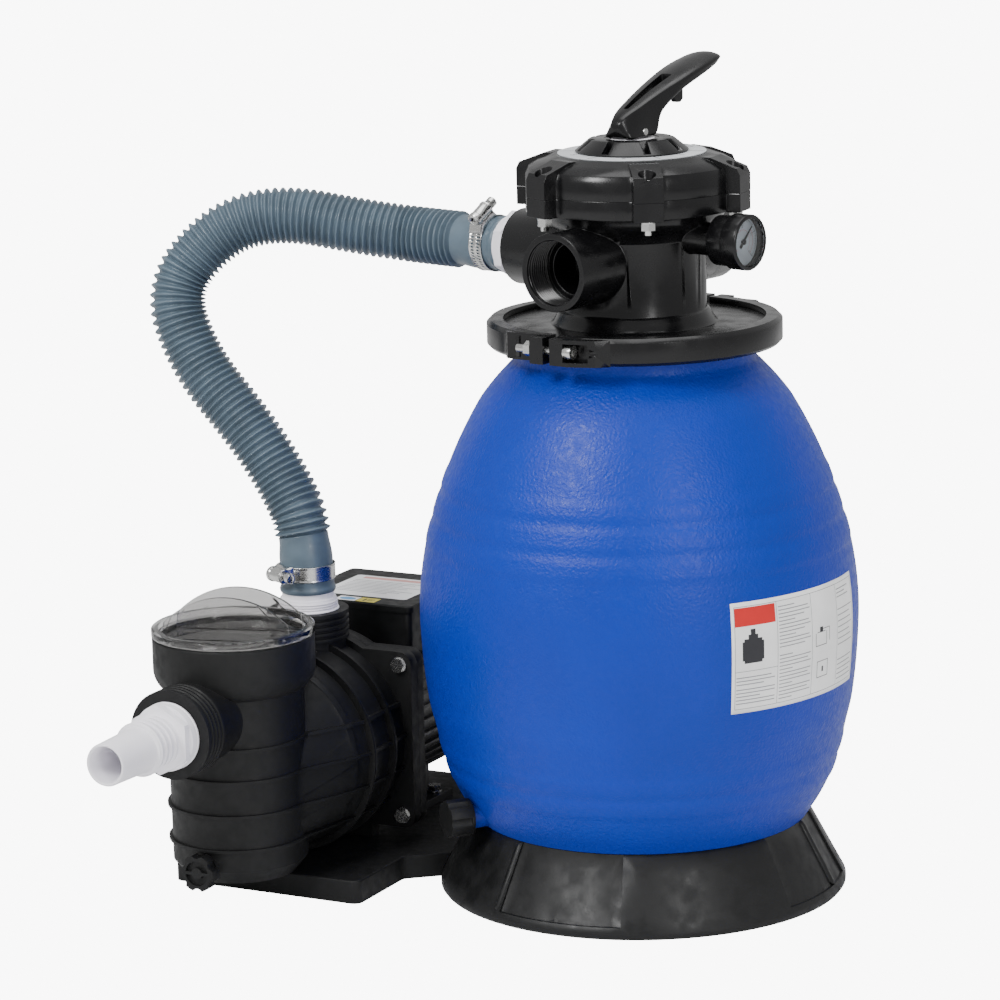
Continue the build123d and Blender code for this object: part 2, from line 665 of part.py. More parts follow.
def pump_housing():
    body = pot_form(0) + volute_form(0)
    skin = pot_form(2.6) + volute_form(2.6)
    for height in (50.5, 77, 103.5, 128):
        body += skin & block(-400, -100, -260, -38, height - 1.2, height + 1.2)
    for start in (-94, -62):
        body += PUMP * ring(VOLUTE_RING_R, VOLUTE_R - 5, start, start + 3)
    body += PUMP * wet_flange(-38, -28)
    body += block(PUMP_X - 45, PUMP_X + 45, -38, -28, PLATFORM_TOP, PUMP_Z - 60)
    body += POT * pot_collar()
    body += INLET * disc(31, 190, 232)
    body += INLET * (disc(INLET_R, 231, -INLET_FACE) - thread_ridges(INLET_R, 234, 4))
    outlet = disc(OUTLET_R, 178, OUTLET_TOP) - thread_ridges(OUTLET_R, 180, 4)
    body += OUTLET * (outlet + disc(28.5, 150, 179))
    body -= block(PUMP_X - 90, PUMP_X + 90, -28, 20, 10, PUMP_Z + FLANGE_RIM_R + 2)
    body += PLUG * disc(11, 190, 214.5)
    body -= POT * turned(
        (0, POT_BOTTOM + 5), (40, POT_BOTTOM + 5), (46.5, POT_BOTTOM + 13), (47.5, 168),
        (LID_BORE, 178), (LID_BORE, COLLAR_TOP + 1), (0, COLLAR_TOP + 1),
    )
    body -= PUMP * disc(21, -130, -90)
    body -= PUMP * disc(68, -92, -27)
    body -= INLET * disc(20, 180, 256)
    body -= INLET * disc(PORT_THREAD_R, -INLET_FACE - THREAD_DEPTH, 256)
    body -= OUTLET * disc(19, 150, OUTLET_TOP + 1)
    body -= OUTLET * disc(PORT_THREAD_R, OUTLET_TOP - THREAD_DEPTH, OUTLET_TOP + 1)
    return body - PLUG * disc(6, 190, 215)


def pump_lid():
    """Clear screw-in cover with two tall curved fins to grip."""
    lid = turned(
        (0, 199), (50, 199), (50, 194), (LID_BORE - 0.4, 194),
        (LID_BORE - 0.4, COLLAR_TOP + 0.5), (COLLAR_R + 0.3, COLLAR_TOP + 0.5),
        (COLLAR_R + 0.3, 211.5), (COLLAR_R - 1, 212.5), (56, 212.5), (54, 204), (0, 204),
    )
    for offset in (-19.5, 16.5):
        fin_face = make_face([
            ThreePointArc((-48, 217), (0, 237), (48, 217)),
            Polyline((48, 217), (50, 203), (-50, 203), (-48, 217)),
        ])
        lid += extrude(Plane.XZ.offset(-offset) * fin_face, -3)
    return POT * (Location((0, 0, 0), (0, 0, LID_TURN)) * lid)


def lid_seal():
    return POT * ring(49.6, 47.8, 189.6, 193.6)


def strainer_basket():
    """Slotted cup that hangs in the pot."""
    basket = turned(
        (0, 42), (36, 42), (42.5, 165), (46.6, 168), (46.6, 171), (41, 171), (34, 44.5),
        (0, 44.5),
    )
    slot = block(20, 60, -3.2, 3.2, 56, 152)
    basket -= around(slot, range(0, 360, 20))
    inlet_window = INLET * disc(20, 100, 240)
    inlet_window = Location((-PUMP_X, -POT_Y, 0)) * inlet_window
    return POT * (basket - inlet_window)


def pump_drain_plug():
    knob = disc(14, 217, 226)
    for angle in range(30, 390, 60):
        place = Location((16.6 * cos(radians(angle)), 16.6 * sin(radians(angle)), 0))
        knob -= place * disc(5, 216, 227)
    knob -= ring(9.5, 4.5, 223.5, 227) - block(-10, 10, -1.2, 1.2, 220, 228)
    knob += disc(5.9, 205, 218)
    return PLUG * knob


def impeller():
    """Closed impeller: two shrouds, six curved vanes and a hub."""
    wheel = disc(50, -60, -57) + (disc(50, -73, -70) - disc(18, -74, -69))
    vane = make_face([
        ThreePointArc((14, 0), (30, 11), (49.5, 4)),
        ThreePointArc((49.5, 4), (31, 14), (13, 3)),
        Line((13, 3), (14, 0)),
    ])
    wheel += around(extrude(Plane.XY.offset(-71) * vane, 12), range(0, 360, 60))
    wheel += disc(12, -68, -45)
    return PUMP * (wheel - disc(SHAFT_R, -66, -44))


def pump_diffuser():
    """Fixed ring of guide vanes in front of and around the impeller."""
    ring_wall = ring(67.7, 63, -90, -50)
    plate = disc(67.7, -82, -78) - disc(20, -83, -77)
    window = block(50, 80, -13, 13, -76, -54)
    ring_wall -= around(window, range(0, 360, 45))
    return PUMP * (ring_wall + plate)


def seal_plate():
    plate = wet_flange(-28, -18) + disc(67.6, -36, -27)
    plate += ring(22, 14, -40, -30)
    return PUMP * (plate - disc(9, -50, -10))


def shaft_seal():
    return PUMP * (ring(13.4, SHAFT_R, -44, -38))


# ---- pump, motor ------------------------------------------------------------------------
def motor_shell():
    shell = disc(MOTOR_R, -18, MOTOR_END) - disc(56, -12, MOTOR_END + 1)
    shell += disc(66, -18, -10) - disc(56, -12, -9)
    shell -= disc(9, -19, -9)
    shell += ring(20, 16, -13, 0)
    fin = block(MOTOR_R - 1, 64, -1.2, 1.2, -4, MOTOR_END - 6)
    # local +Y points down, so the fins keep clear of the box above and the foot below
    angles = [a for a in range(0, 360, 10) if 40 < abs((a + 90) % 360) < 320]
    shell += around(fin, [a for a in angles if not 60 <= a <= 120])
    shell = PUMP * shell
    foot = block(PUMP_X - 48, PUMP_X + 48, 30, 90, PLATFORM_TOP, PLATFORM_TOP + 6)
    foot += block(PUMP_X - 30, PUMP_X + 30, 36, 84, PLATFORM_TOP, PUMP_Z - 40)
    foot -= block(PUMP_X - 25, PUMP_X + 25, 30, 90, PLATFORM_TOP - 1, PUMP_Z - 62)
    foot -= PUMP * disc(MOTOR_R - 2, 0, 120)
    for x, y in FOOT_BOLTS:
        foot -= Location((x, y, 0)) * disc(3.1, 10, 30)
    return shell + foot


def motor_stator():
    stator = ring(55.9, 34, 24, 112)
    slot = block(33, 46, -2, 2, 20, 116)
    stator -= around(slot, range(0, 360, 20))
    return PUMP * (stator + ring(50, 38, 12, 24) + ring(50, 38, 112, 124))


def motor_end_bell():
    bell = disc(MOTOR_R, MOTOR_END, 166) - disc(54, MOTOR_END - 1, 160)
    bell += ring(20, 16, 146, 161)
    return PUMP * (bell - disc(9, 140, 170))


def fan_cover():
    """Cup over the fan with ventilation slots in its end."""
    cover = disc(63.5, 152, 200) - disc(61.3, 151, 197.5)
    cover -= disc(4, 190, 201)
    for radius in (16, 28, 40, 52):
        slots = ring(radius + 3.5, radius - 3.5, 190, 201)
        slots -= around(block(0, 70, -2.5, 2.5, 180, 210), range(0, 360, 60))
        cover -= slots
    return PUMP * cover


def bearings():
    return [PUMP * ring(16, SHAFT_R, z, z + 10) for z in (-11, 148)]


def motor_shaft():
    shaft = disc(SHAFT_R - FIT, -64, 184)
    return PUMP * shaft


def motor_rotor():
    return PUMP * (disc(33.2, 26, 110) - disc(SHAFT_R - FIT, 20, 120))


def cooling_fan():
    fan = disc(14, 172, 184) + disc(50, 172, 174)
    blade = block(12, 52, -1, 1, 173, 188)
    fan += around(blade, [360 / 7 * k for k in range(7)])
    return PUMP * (fan - disc(SHAFT_R - FIT, 170, 184))


def pump_bolts():
    """Four hexagon bolts through the flanges, with nuts, and four foot bolts."""
    bolt = hexagon(10, -43, -39.2) + disc(6.4, -39.2, -38) + disc(3.3, -40, -10)
    nut = hexagon(12, -18, -12.5) - disc(3.3, -30, 0)
    parts = []
    for x in (-FLANGE_BOLT_X, FLANGE_BOLT_X):
        for z in (-FLANGE_BOLT_Z, FLANGE_BOLT_Z):
            parts += [PUMP * Location((x, z, 0)) * part for part in (bolt, nut)]
    foot = hexagon(10, PLATFORM_TOP + 7.2, PLATFORM_TOP + 11.5)
    foot += disc(5.8, PLATFORM_TOP + 6, PLATFORM_TOP + 7.2) + disc(3, 4, PLATFORM_TOP + 8)
    return parts + [Location((x, y, 0)) * foot for x, y in FOOT_BOLTS]


# ---- switch box -------------------------------------------------------------------------
def switch_box():
    box = block(BOX_X0 + 2, BOX_X1 - 2, BOX_Y0 + 2, BOX_Y1 - 2, BOX_BOTTOM, BOX_LID_Z)
    box = fillet(box.edges().filter_by(Axis.Z), 4)
    box -= block(BOX_X0 + 5, BOX_X1 - 5, BOX_Y0 + 5, BOX_Y1 - 5, 164, BOX_LID_Z + 1)
    box -= PUMP * disc(MOTOR_R, -20, MOTOR_END)
    return box - gland_way() * disc(8, -10, 20)


def gland_way():
    return Location(Plane((-290, BOX_Y1 - 2, 175), x_dir=(1, 0, 0), z_dir=(0, 1, 0)))


def switch_box_lid():
    lid = block(BOX_X0, BOX_X1, BOX_Y0, BOX_Y1, BOX_LID_Z, BOX_TOP)
    lid = fillet(lid.edges().filter_by(Axis.Z), 5)
    lid = chamfer(lid.faces().sort_by(Axis.Z)[-1].edges(), 1)
    return lid - Location((BOX_X1 - 12, BOX_Y1 - 14, 0)) * disc(3, BOX_TOP - 3, BOX_TOP + 1)


def cable_gland():
    gland = disc(7.9, -3, 0) + hexagon(19, 0, 6) + disc(8.5, 6, 15)
    return gland_way() * (gland - disc(4, -4, 16))


# ---- inside the tank ----------------------------------------------------------------------
def standpipe():
    return ring(20.2, 17.5, 60, 440)


def lateral_hub():
    hub = disc(28, 34, 60) - disc(20, 40, 61)
    hub += ring(24, 20.2, 60, 74)
    return hub - [outward(angle, 47) * disc(4.6, 10, 40) for angle in range(0, 360, 45)]


def laterals():
    """Eight slotted collector tubes around the hub."""
    tube = ring(7, 5.4, 28, 96) + disc(7, 96, 99)
    slots = [ring(8, 6.3, 36 + 6 * k, 37.5 + 6 * k) for k in range(10)]
    tube -= slots
    return [outward(angle, 47) * tube for angle in range(0, 360, 45)]


def top_diffuser():
    """Slotted basket under the valve that spreads the incoming water."""
    cup = turned(
        (20.6, 384), (58, 384), (62, 388), (62, 420), (80, 422), (80, JOINT_Z),
        (58, JOINT_Z), (58, 388), (20.6, 388),
    )
    slot = block(50, 70, -2, 2, 392, 416)
    return cup - around(slot, range(0, 360, 15))


# ---- write every node -----------------------------------------------------------------
def main():
    halves = clamp_halves()
    nodes = {
        "tank_base": [tank_base()],
        "pump_platform": [pump_platform()],
        "tank_shell": [tank_shell()],
        "tank_label": [tank_label()],
        "clamp_half_left": [halves[0]],
        "clamp_half_right": [halves[1]],
        "clamp_fasteners": clamp_fasteners(),
        "flange_o_ring": [torus(96, 1.74, JOINT_Z - 1.75)],
        "valve_body": [valve_body()],
        "valve_lid": [valve_lid()],
        "valve_lid_o_ring": [torus(65.5, 1.49, LID_Z - 1.5)],
        "valve_lid_fasteners": lid_fasteners(),
        "spider_gasket": [spider_gasket()],
        "position_disc": [position_disc()],
        "gauge_case": [gauge_case()],
        "gauge_bezel": [gauge_bezel()],
        "gauge_dial": [gauge_dial()],
        "gauge_lens": [gauge_lens()],
        "gauge_needle": [gauge_needle()],
        "stem_washer": [ring(17, STEM_R + GAP, CONE_TOP - 1.9, CONE_TOP + 0.2)],
        "valve_rotor": [valve_rotor()],
        "rotor_spring": [rotor_spring()],
        "handle_pin": [VALVE * cross_pin(PIN_R, 13.4)],
        "valve_handle": [valve_handle()],
        "hose_adapter_valve": [hose_adapter_valve()],
        "hose_adapter_pump": [hose_adapter_pump()],
        "suction_adapter": [suction_adapter()],
        "hose": [hose()],
        "hose_clamp_valve": [valve_clamp_place() * clamp_band()],
        "hose_clamp_screw_valve": [valve_clamp_place() * clamp_screw()],
        "hose_clamp_pump": [pump_clamp_place() * clamp_band()],
        "hose_clamp_screw_pump": [pump_clamp_place() * clamp_screw()],
        "pump_housing": [pump_housing()],
        "pump_lid": [pump_lid()],
        "pump_lid_seal": [lid_seal()],
        "strainer_basket": [strainer_basket()],
        "pump_drain_plug": [pump_drain_plug()],
        "pump_drain_seal": [PLUG * ring(9.5, 6.3, 214.8, 216.8)],
        "tank_drain_cap": [outward(DRAIN_ANGLE, DRAIN_Z) * drain_cap()],
        "tank_drain_seal": [outward(DRAIN_ANGLE, DRAIN_Z) * disc(8.8, 150.3, 152.4)],
        "impeller": [impeller()],
        "pump_diffuser": [pump_diffuser()],
        "seal_plate": [seal_plate()],
        "shaft_seal": [shaft_seal()],
        "motor_shell": [motor_shell()],
        "motor_stator": [motor_stator()],
        "motor_rotor": [motor_rotor()],
        "motor_shaft": [motor_shaft()],
        "motor_bearings": bearings(),
        "motor_end_bell": [motor_end_bell()],
        "cooling_fan": [cooling_fan()],
        "fan_cover": [fan_cover()],
        "pump_bolts": pump_bolts(),
        "switch_box": [switch_box()],
        "switch_box_lid": [switch_box_lid()],
        "cable_gland": [cable_gland()],
        "standpipe": [standpipe()],
        "lateral_hub": [lateral_hub()],
        "laterals": laterals(),
        "top_diffuser": [top_diffuser()],
    }
    for node, shapes in nodes.items():
        save(node, *shapes)
    print(len(nodes), "nodes")


main()
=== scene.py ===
import json
import math

import bmesh
import bpy
from mathutils import Matrix, Vector

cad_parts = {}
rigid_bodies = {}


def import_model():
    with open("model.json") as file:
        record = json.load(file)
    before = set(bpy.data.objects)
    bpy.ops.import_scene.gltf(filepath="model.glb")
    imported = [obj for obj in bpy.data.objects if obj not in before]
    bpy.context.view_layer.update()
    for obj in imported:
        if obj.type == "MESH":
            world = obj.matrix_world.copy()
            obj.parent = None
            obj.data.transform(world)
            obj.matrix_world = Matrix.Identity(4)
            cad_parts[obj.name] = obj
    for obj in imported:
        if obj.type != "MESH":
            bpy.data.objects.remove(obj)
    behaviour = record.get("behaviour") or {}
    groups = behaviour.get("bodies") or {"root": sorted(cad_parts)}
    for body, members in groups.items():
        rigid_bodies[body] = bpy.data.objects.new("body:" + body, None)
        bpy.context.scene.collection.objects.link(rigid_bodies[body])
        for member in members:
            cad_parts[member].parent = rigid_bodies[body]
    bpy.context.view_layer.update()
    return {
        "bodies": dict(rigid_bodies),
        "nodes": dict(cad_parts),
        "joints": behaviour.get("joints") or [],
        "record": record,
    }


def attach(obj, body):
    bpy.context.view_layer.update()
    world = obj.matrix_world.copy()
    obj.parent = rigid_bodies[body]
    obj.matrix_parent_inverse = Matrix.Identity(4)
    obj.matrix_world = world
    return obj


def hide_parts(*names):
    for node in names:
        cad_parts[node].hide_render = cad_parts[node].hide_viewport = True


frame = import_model()
NODES = frame["nodes"]

# The sand filter as its CAD frame, with finished surfaces. Metres, +Z up, the tank's
# axis at the origin, the pump's axis along Y. Sizes inside the piece functions are in mm.

MM = 0.001

# ---- sizes that the CAD frame also has ------------------------------------------------
VALVE_TURN = math.radians(-12)
PORT_Z = 0.480
PORT_REACH = 0.096
HOSE_PORT_REACH = 0.1045
VALVE_BARB_START = 0.119
PUMP_BARB_START = 0.214
PUMP_X = -0.260
OUTLET_Y = -0.048
HOSE_R = 0.022
BAND_START = 0.010
OUTLET_TOP = 0.200
INLET_Z = 0.150
INLET_FACE = 0.255
GAUGE_Z = 0.498
DOME_Z = 0.5574
DRAIN_ANGLE = -130.0
DRAIN_Z = 0.068
BOX_TOP = 0.192
BASE_TOP_R = 125.0        # radius of the base's top edge, mm
SEAT_Z = 57               # height of the base's top edge, mm
PIN_Z = 573               # the handle's cross pin, mm

# ---- camera -----------------------------------------------------------------------------
CAMERA_PLACE = (1.2859, -2.6960, 0.9289)
CAMERA_TURN = (78.0598, 1.2858, 27.2029)     # degrees
CAMERA_LENS = 146.55
FLOOR_SIZE = 16.0
WORLD_STRENGTH = 0.65
FLOOR_GLOW = 9.0                             # seen by the camera alone


def add_camera():
    data = bpy.data.cameras.new("camera")
    data.lens = CAMERA_LENS
    data.sensor_width = 36
    data.clip_end = 50
    camera = bpy.data.objects.new("camera", data)
    camera.location = CAMERA_PLACE
    camera.rotation_euler = [math.radians(angle) for angle in CAMERA_TURN]
    bpy.context.scene.collection.objects.link(camera)
    bpy.context.scene.camera = camera


def add_area_light(name, place, target, size, power, colour=(1, 1, 1)):
    data = bpy.data.lights.new(name, "AREA")
    data.shape = "RECTANGLE"
    data.size, data.size_y = size
    data.energy = power
    data.color = colour
    light = bpy.data.objects.new(name, data)
    light.location = place
    aim = Vector(target) - Vector(place)
    light.rotation_euler = aim.to_track_quat("-Z", "Y").to_euler()
    bpy.context.scene.collection.objects.link(light)


def add_studio():
    world = bpy.data.worlds.new("studio")
    bpy.context.scene.world = world
    world.use_nodes = True
    background = world.node_tree.nodes["Background"]
    background.inputs["Color"].default_value = (1.0, 1.0, 1.0, 1)
    background.inputs["Strength"].default_value = WORLD_STRENGTH
    centre = (-0.1, 0, 0.3)
    add_area_light("key", (-0.9, -2.4, 2.4), centre, (1.0, 1.0), 78)
    add_area_light("side", (2.5, -1.9, 1.7), centre, (0.5, 1.8), 36)
    add_area_light("top", (0.0, 0.2, 2.8), centre, (1.8, 1.8), 34)
    mesh = bpy.data.meshes.new("floor")
    half = FLOOR_SIZE / 2
    corners = [(-half, -half, 0), (half, -half, 0), (half, half * 3, 0), (-half, half * 3, 0)]
    mesh.from_pydata(corners, [], [(0, 1, 2, 3)])
    floor = bpy.data.objects.new("floor", mesh)
    bpy.context.scene.collection.objects.link(floor)
    mesh.materials.append(floor_material())


# ---- materials --------------------------------------------------------------------------
class Surface:
    """One node material, built step by step around a Principled shader."""

    def __init__(self, name, colour, roughness, metallic=0.0):
        self.material = bpy.data.materials.new(name)
        self.material.use_nodes = True
        self.material.diffuse_color = (*colour, 1)
        self.tree = self.material.node_tree
        self.shader = self.tree.nodes["Principled BSDF"]
        self.shader.inputs["Base Color"].default_value = (*colour, 1)
        self.shader.inputs["Roughness"].default_value = roughness
        self.shader.inputs["Metallic"].default_value = metallic
        self.colour = colour
        self.place = self.node("ShaderNodeTexCoord").outputs["Object"]
        self.bump_out = None

    def node(self, kind, **settings):
        node = self.tree.nodes.new(kind)
        for key, value in settings.items():
            setattr(node, key, value)
        return node

    def link(self, source, target):
        self.tree.links.new(source, target)

    def noise(self, size, detail=2.0, stretch=(1, 1, 1)):
        """Noise whose features are about this size, in metres."""
        mapping = self.node("ShaderNodeMapping")
        mapping.inputs["Scale"].default_value = stretch
        self.link(self.place, mapping.inputs["Vector"])
        noise = self.node("ShaderNodeTexNoise")
        noise.inputs["Scale"].default_value = 1 / size
        noise.inputs["Detail"].default_value = detail
        self.link(mapping.outputs["Vector"], noise.inputs["Vector"])
        return noise.outputs["Fac"]

    def ramp(self, value, low, high, low_at=0.35, high_at=0.65):
        """Maps a value to a range, as a Map Range node."""
        spread = self.node("ShaderNodeMapRange")
        spread.inputs["From Min"].default_value = low_at
        spread.inputs["From Max"].default_value = high_at
        spread.inputs["To Min"].default_value = low
        spread.inputs["To Max"].default_value = high
        self.link(value, spread.inputs["Value"])
        return spread.outputs["Result"]

    def vary_colour(self, value, darker, lighter):
        """Blends the base colour between two brightness factors."""
        mix = self.node("ShaderNodeMix", data_type="RGBA")
        mix.inputs["A"].default_value = (*[c * darker for c in self.colour], 1)
        mix.inputs["B"].default_value = (*[min(1, c * lighter) for c in self.colour], 1)
        self.link(self.ramp(value, 0, 1), mix.inputs["Factor"])
        self.link(mix.outputs["Result"], self.shader.inputs["Base Color"])

    def vary_roughness(self, value, low, high):
        self.link(self.ramp(value, low, high), self.shader.inputs["Roughness"])

    def bump(self, height, depth, strength=1.0):
        """Adds a bump of this depth in metres on top of the earlier ones."""
        bump = self.node("ShaderNodeBump")
        bump.inputs["Distance"].default_value = depth
        bump.inputs["Strength"].default_value = strength
        self.link(height, bump.inputs["Height"])
        if self.bump_out:
            self.link(self.bump_out, bump.inputs["Normal"])
        self.bump_out = bump.outputs["Normal"]
        self.link(self.bump_out, self.shader.inputs["Normal"])


def floor_material():
    """Plain white sweep that burns out to white behind the object."""
    surface = Surface("floor", (0.8, 0.8, 0.8), 0.7)
    surface.vary_roughness(surface.noise(0.2), 0.65, 0.75)
    glow = surface.node("ShaderNodeEmission")
    glow.inputs["Strength"].default_value = FLOOR_GLOW
    mix = surface.node("ShaderNodeMixShader")
    seen = surface.node("ShaderNodeLightPath").outputs["Is Camera Ray"]
    surface.link(seen, mix.inputs[0])
    surface.link(surface.shader.outputs[0], mix.inputs[1])
    surface.link(glow.outputs[0], mix.inputs[2])
    surface.link(mix.outputs[0], surface.tree.nodes["Material Output"].inputs["Surface"])
    return surface.material


def grained_plastic(name, colour, roughness=0.5, grain=0.9 * MM, depth=0.05 * MM):
    """Moulded plastic with a fine spark-eroded grain."""
    surface = Surface(name, colour, roughness)
    surface.shader.inputs["Specular IOR Level"].default_value = 0.3
    surface.vary_colour(surface.noise(45 * MM, 3), 0.93, 1.08)
    surface.vary_roughness(surface.noise(8 * MM), roughness - 0.06, roughness + 0.08)
    surface.bump(surface.noise(grain, 2), depth)
    return surface.material


def gloss_plastic(name, colour, roughness=0.18):
    """Polished moulding: faint flow waves, and a few duller patches."""
    surface = Surface(name, colour, roughness)
    surface.shader.inputs["Specular IOR Level"].default_value = 0.36
    surface.vary_colour(surface.noise(60 * MM, 2), 0.95, 1.06)
    surface.vary_roughness(surface.noise(14 * MM, 4), roughness * 0.8, roughness * 1.35)
    surface.bump(surface.noise(22 * MM, 1), 0.12 * MM)
    surface.bump(surface.noise(1.2 * MM, 2), 0.006 * MM)
    return surface.material


def tank_material():
    """Rotomoulded polyethylene with an orange-peel skin."""
    surface = Surface("tank_blue", (0.0003, 0.027, 0.36), 0.42)
    surface.shader.inputs["Specular IOR Level"].default_value = 0.32
    surface.vary_colour(surface.noise(90 * MM, 3), 0.95, 1.06)
    surface.vary_roughness(surface.noise(5 * MM, 3), 0.36, 0.5)
    surface.bump(surface.noise(2.2 * MM, 1.5), 0.5 * MM)
    surface.bump(surface.noise(30 * MM, 1), 0.2 * MM)
    return surface.material


def metal(name, colour, roughness, stretch=(1, 1, 1), brush=1.0 * MM):
    surface = Surface(name, colour, roughness, 1.0)
    lines = surface.noise(brush, 3, stretch)
    surface.vary_roughness(lines, roughness * 0.85, roughness * 1.2)
    surface.vary_colour(surface.noise(30 * MM, 2), 0.94, 1.04)
    surface.bump(lines, 0.002 * MM)
    return surface.material


def rubber_material():
    surface = Surface("rubber", (0.012, 0.012, 0.012), 0.65)
    surface.vary_colour(surface.noise(6 * MM, 3), 0.7, 1.5)
    surface.bump(surface.noise(0.8 * MM, 2), 0.02 * MM)
    return surface.material


def clear_material(name, tint, roughness=0.03):
    surface = Surface(name, tint, roughness)
    surface.shader.inputs["Transmission Weight"].default_value = 1.0
    surface.shader.inputs["IOR"].default_value = 1.35
    surface.vary_roughness(surface.noise(9 * MM, 3), roughness, roughness * 3)
    surface.bump(surface.noise(18 * MM, 1), 0.08 * MM)
    return surface.material


def hose_material():
    surface = Surface("hose_grey", (0.092, 0.132, 0.168), 0.36)
    surface.vary_colour(surface.noise(20 * MM, 3), 0.88, 1.12)
    surface.vary_roughness(surface.noise(4 * MM, 3), 0.3, 0.46)
    surface.bump(surface.noise(1.5 * MM, 2), 0.02 * MM)
    return surface.material


BLACK = (0.006, 0.0062, 0.0064)
MATERIALS = {
    "black_moulding": grained_plastic("black_moulding", BLACK, 0.55),
    "satin_black": gloss_plastic("satin_black", BLACK, 0.42),
    "gloss_black": gloss_plastic("gloss_black", (0.004, 0.004, 0.0045), 0.22),
    "tank_blue": tank_material(),
    "label_white": grained_plastic("label_white", (0.93, 0.93, 0.93), 0.4, 2 * MM, 0.01 * MM),
    "steel": metal("steel", (0.6, 0.6, 0.59), 0.24),
    "chrome": metal("chrome", (0.8, 0.8, 0.8), 0.12),
    "rubber": rubber_material(),
    "hose_grey": hose_material(),
    "white_plastic": gloss_plastic("white_plastic", (0.92, 0.9, 0.96), 0.38),
    "clear_plastic": clear_material("clear_plastic", (0.74, 0.735, 0.73)),
    "grey_disc": grained_plastic("grey_disc", (0.62, 0.64, 0.66), 0.35, 1 * MM, 0.01 * MM),
    "dial_white": grained_plastic("dial_white", (0.72, 0.82, 0.92), 0.5, 2 * MM, 0.005 * MM),
    "motor_grey": grained_plastic("motor_grey", (0.02, 0.02, 0.021), 0.4, 1.5 * MM, 0.03 * MM),
    "copper_iron": metal("copper_iron", (0.3, 0.2, 0.15), 0.5),
    "light_plastic": grained_plastic("light_plastic", (0.7, 0.71, 0.7), 0.45, 1 * MM, 0.02 * MM),
}
INKS = {
    "mark_red": (0.62, 0.02, 0.02),
    "mark_pink": (0.75, 0.36, 0.33),
    "mark_grey": (0.25, 0.26, 0.27),
    "mark_dark": (0.03, 0.03, 0.035),
    "mark_blue": (0.12, 0.36, 0.68),
    "mark_yellow": (0.78, 0.66, 0.08),
}
for ink, shade in INKS.items():
    MATERIALS[ink] = grained_plastic(ink, shade, 0.42, 2 * MM, 0.005 * MM)


# edge radii of the larger mouldings, mm
EDGE_WIDTHS = {
    "tank_base": 0.9, "pump_platform": 0.8, "valve_lid": 0.8, "valve_body": 0.7,
    "clamp_half_left": 1.0, "clamp_half_right": 1.0, "pump_housing": 0.6,
    "valve_handle": 1.6, "pump_lid": 0.5, "switch_box_lid": 0.6,
}
SMALL_EDGE = 0.35


def dress_cad_nodes():
    """Every CAD node gets its slot's finish, and edges with a small radius."""
    for part in frame["record"]["subparts"]:
        node = NODES[part["node"]]
        finish = MATERIALS["satin_black" if part["node"] == "tank_base" else part["material_slot"]]
        node.data.materials.clear()
        node.data.materials.append(finish)
        weld = node.modifiers.new("weld", "WELD")
        weld.merge_threshold = 0.00001
        bevel = node.modifiers.new("edge", "BEVEL")
        bevel.width = EDGE_WIDTHS.get(part["node"], SMALL_EDGE) * MM
        bevel.segments = 2
        bevel.limit_method = "ANGLE"
        bevel.angle_limit = math.radians(32)
        bevel.harden_normals = False


# ---- mesh helpers -----------------------------------------------------------------------
def add_mesh(name, vertices, faces, slot, body="root", smooth=35):
    mesh = bpy.data.meshes.new(name)
    mesh.from_pydata([tuple(v) for v in vertices], [], faces)
    mesh.update()
    work = bmesh.new()
    work.from_mesh(mesh)
    bmesh.ops.recalc_face_normals(work, faces=work.faces)
    work.to_mesh(mesh)
    work.free()
    piece = bpy.data.objects.new(name, mesh)
    bpy.context.scene.collection.objects.link(piece)
    mesh.materials.append(MATERIALS[slot])
    mesh.shade_smooth()
    mesh.set_sharp_from_angle(angle=math.radians(smooth))
    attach(piece, body)
    return piece


def axis_frame(origin, z_axis, y_axis):
    """Matrix of a frame with these axes; its X is across both."""
    z = Vector(z_axis).normalized()
    x = Vector(y_axis).cross(z).normalized()
    y = z.cross(x)
    frame = Matrix((x, y, z)).transposed().to_4x4()
    frame.translation = Vector(origin)
    return frame


def outward(angle, height):
    """Frame on the tank's axis whose Z points level at this angle, in degrees."""
    turn = math.radians(angle)
    return axis_frame((0, 0, height), (math.cos(turn), math.sin(turn), 0), (0, 0, 1))


def round_point(radius, angle, height):
    """Point about Z, from mm."""
    return Vector((radius * math.cos(angle), radius * math.sin(angle), height)) * MM


def lathe_data(outline, segments=96):
    """Vertices and faces of a closed (radius, height) outline turned about Z, in mm."""
    vertices, faces = [], []
    count = len(outline)
    for k in range(segments):
        angle = 2 * math.pi * k / segments
        for radius, height in outline:
            vertices.append(Vector((radius * math.cos(angle) * MM, radius * math.sin(angle) * MM,
                                    height * MM)))
    for k in range(segments):
        n = (k + 1) % segments
        for i in range(count):
            j = (i + 1) % count
            faces.append((k * count + i, n * count + i, n * count + j, k * count + j))
    return vertices, faces


def add_lathe(name, outline, place, slot, body="root", segments=96, smooth=35, extra=()):
    """Turned piece; extra holds more (vertices, faces) shells for the same piece."""
    vertices, faces = lathe_data(outline, segments)
    for more_vertices, more_faces in extra:
        base = len(vertices)
        vertices += more_vertices
        faces += [tuple(base + v for v in face) for face in more_faces]
    return add_mesh(name, [place @ v for v in vertices], faces, slot, body, smooth)


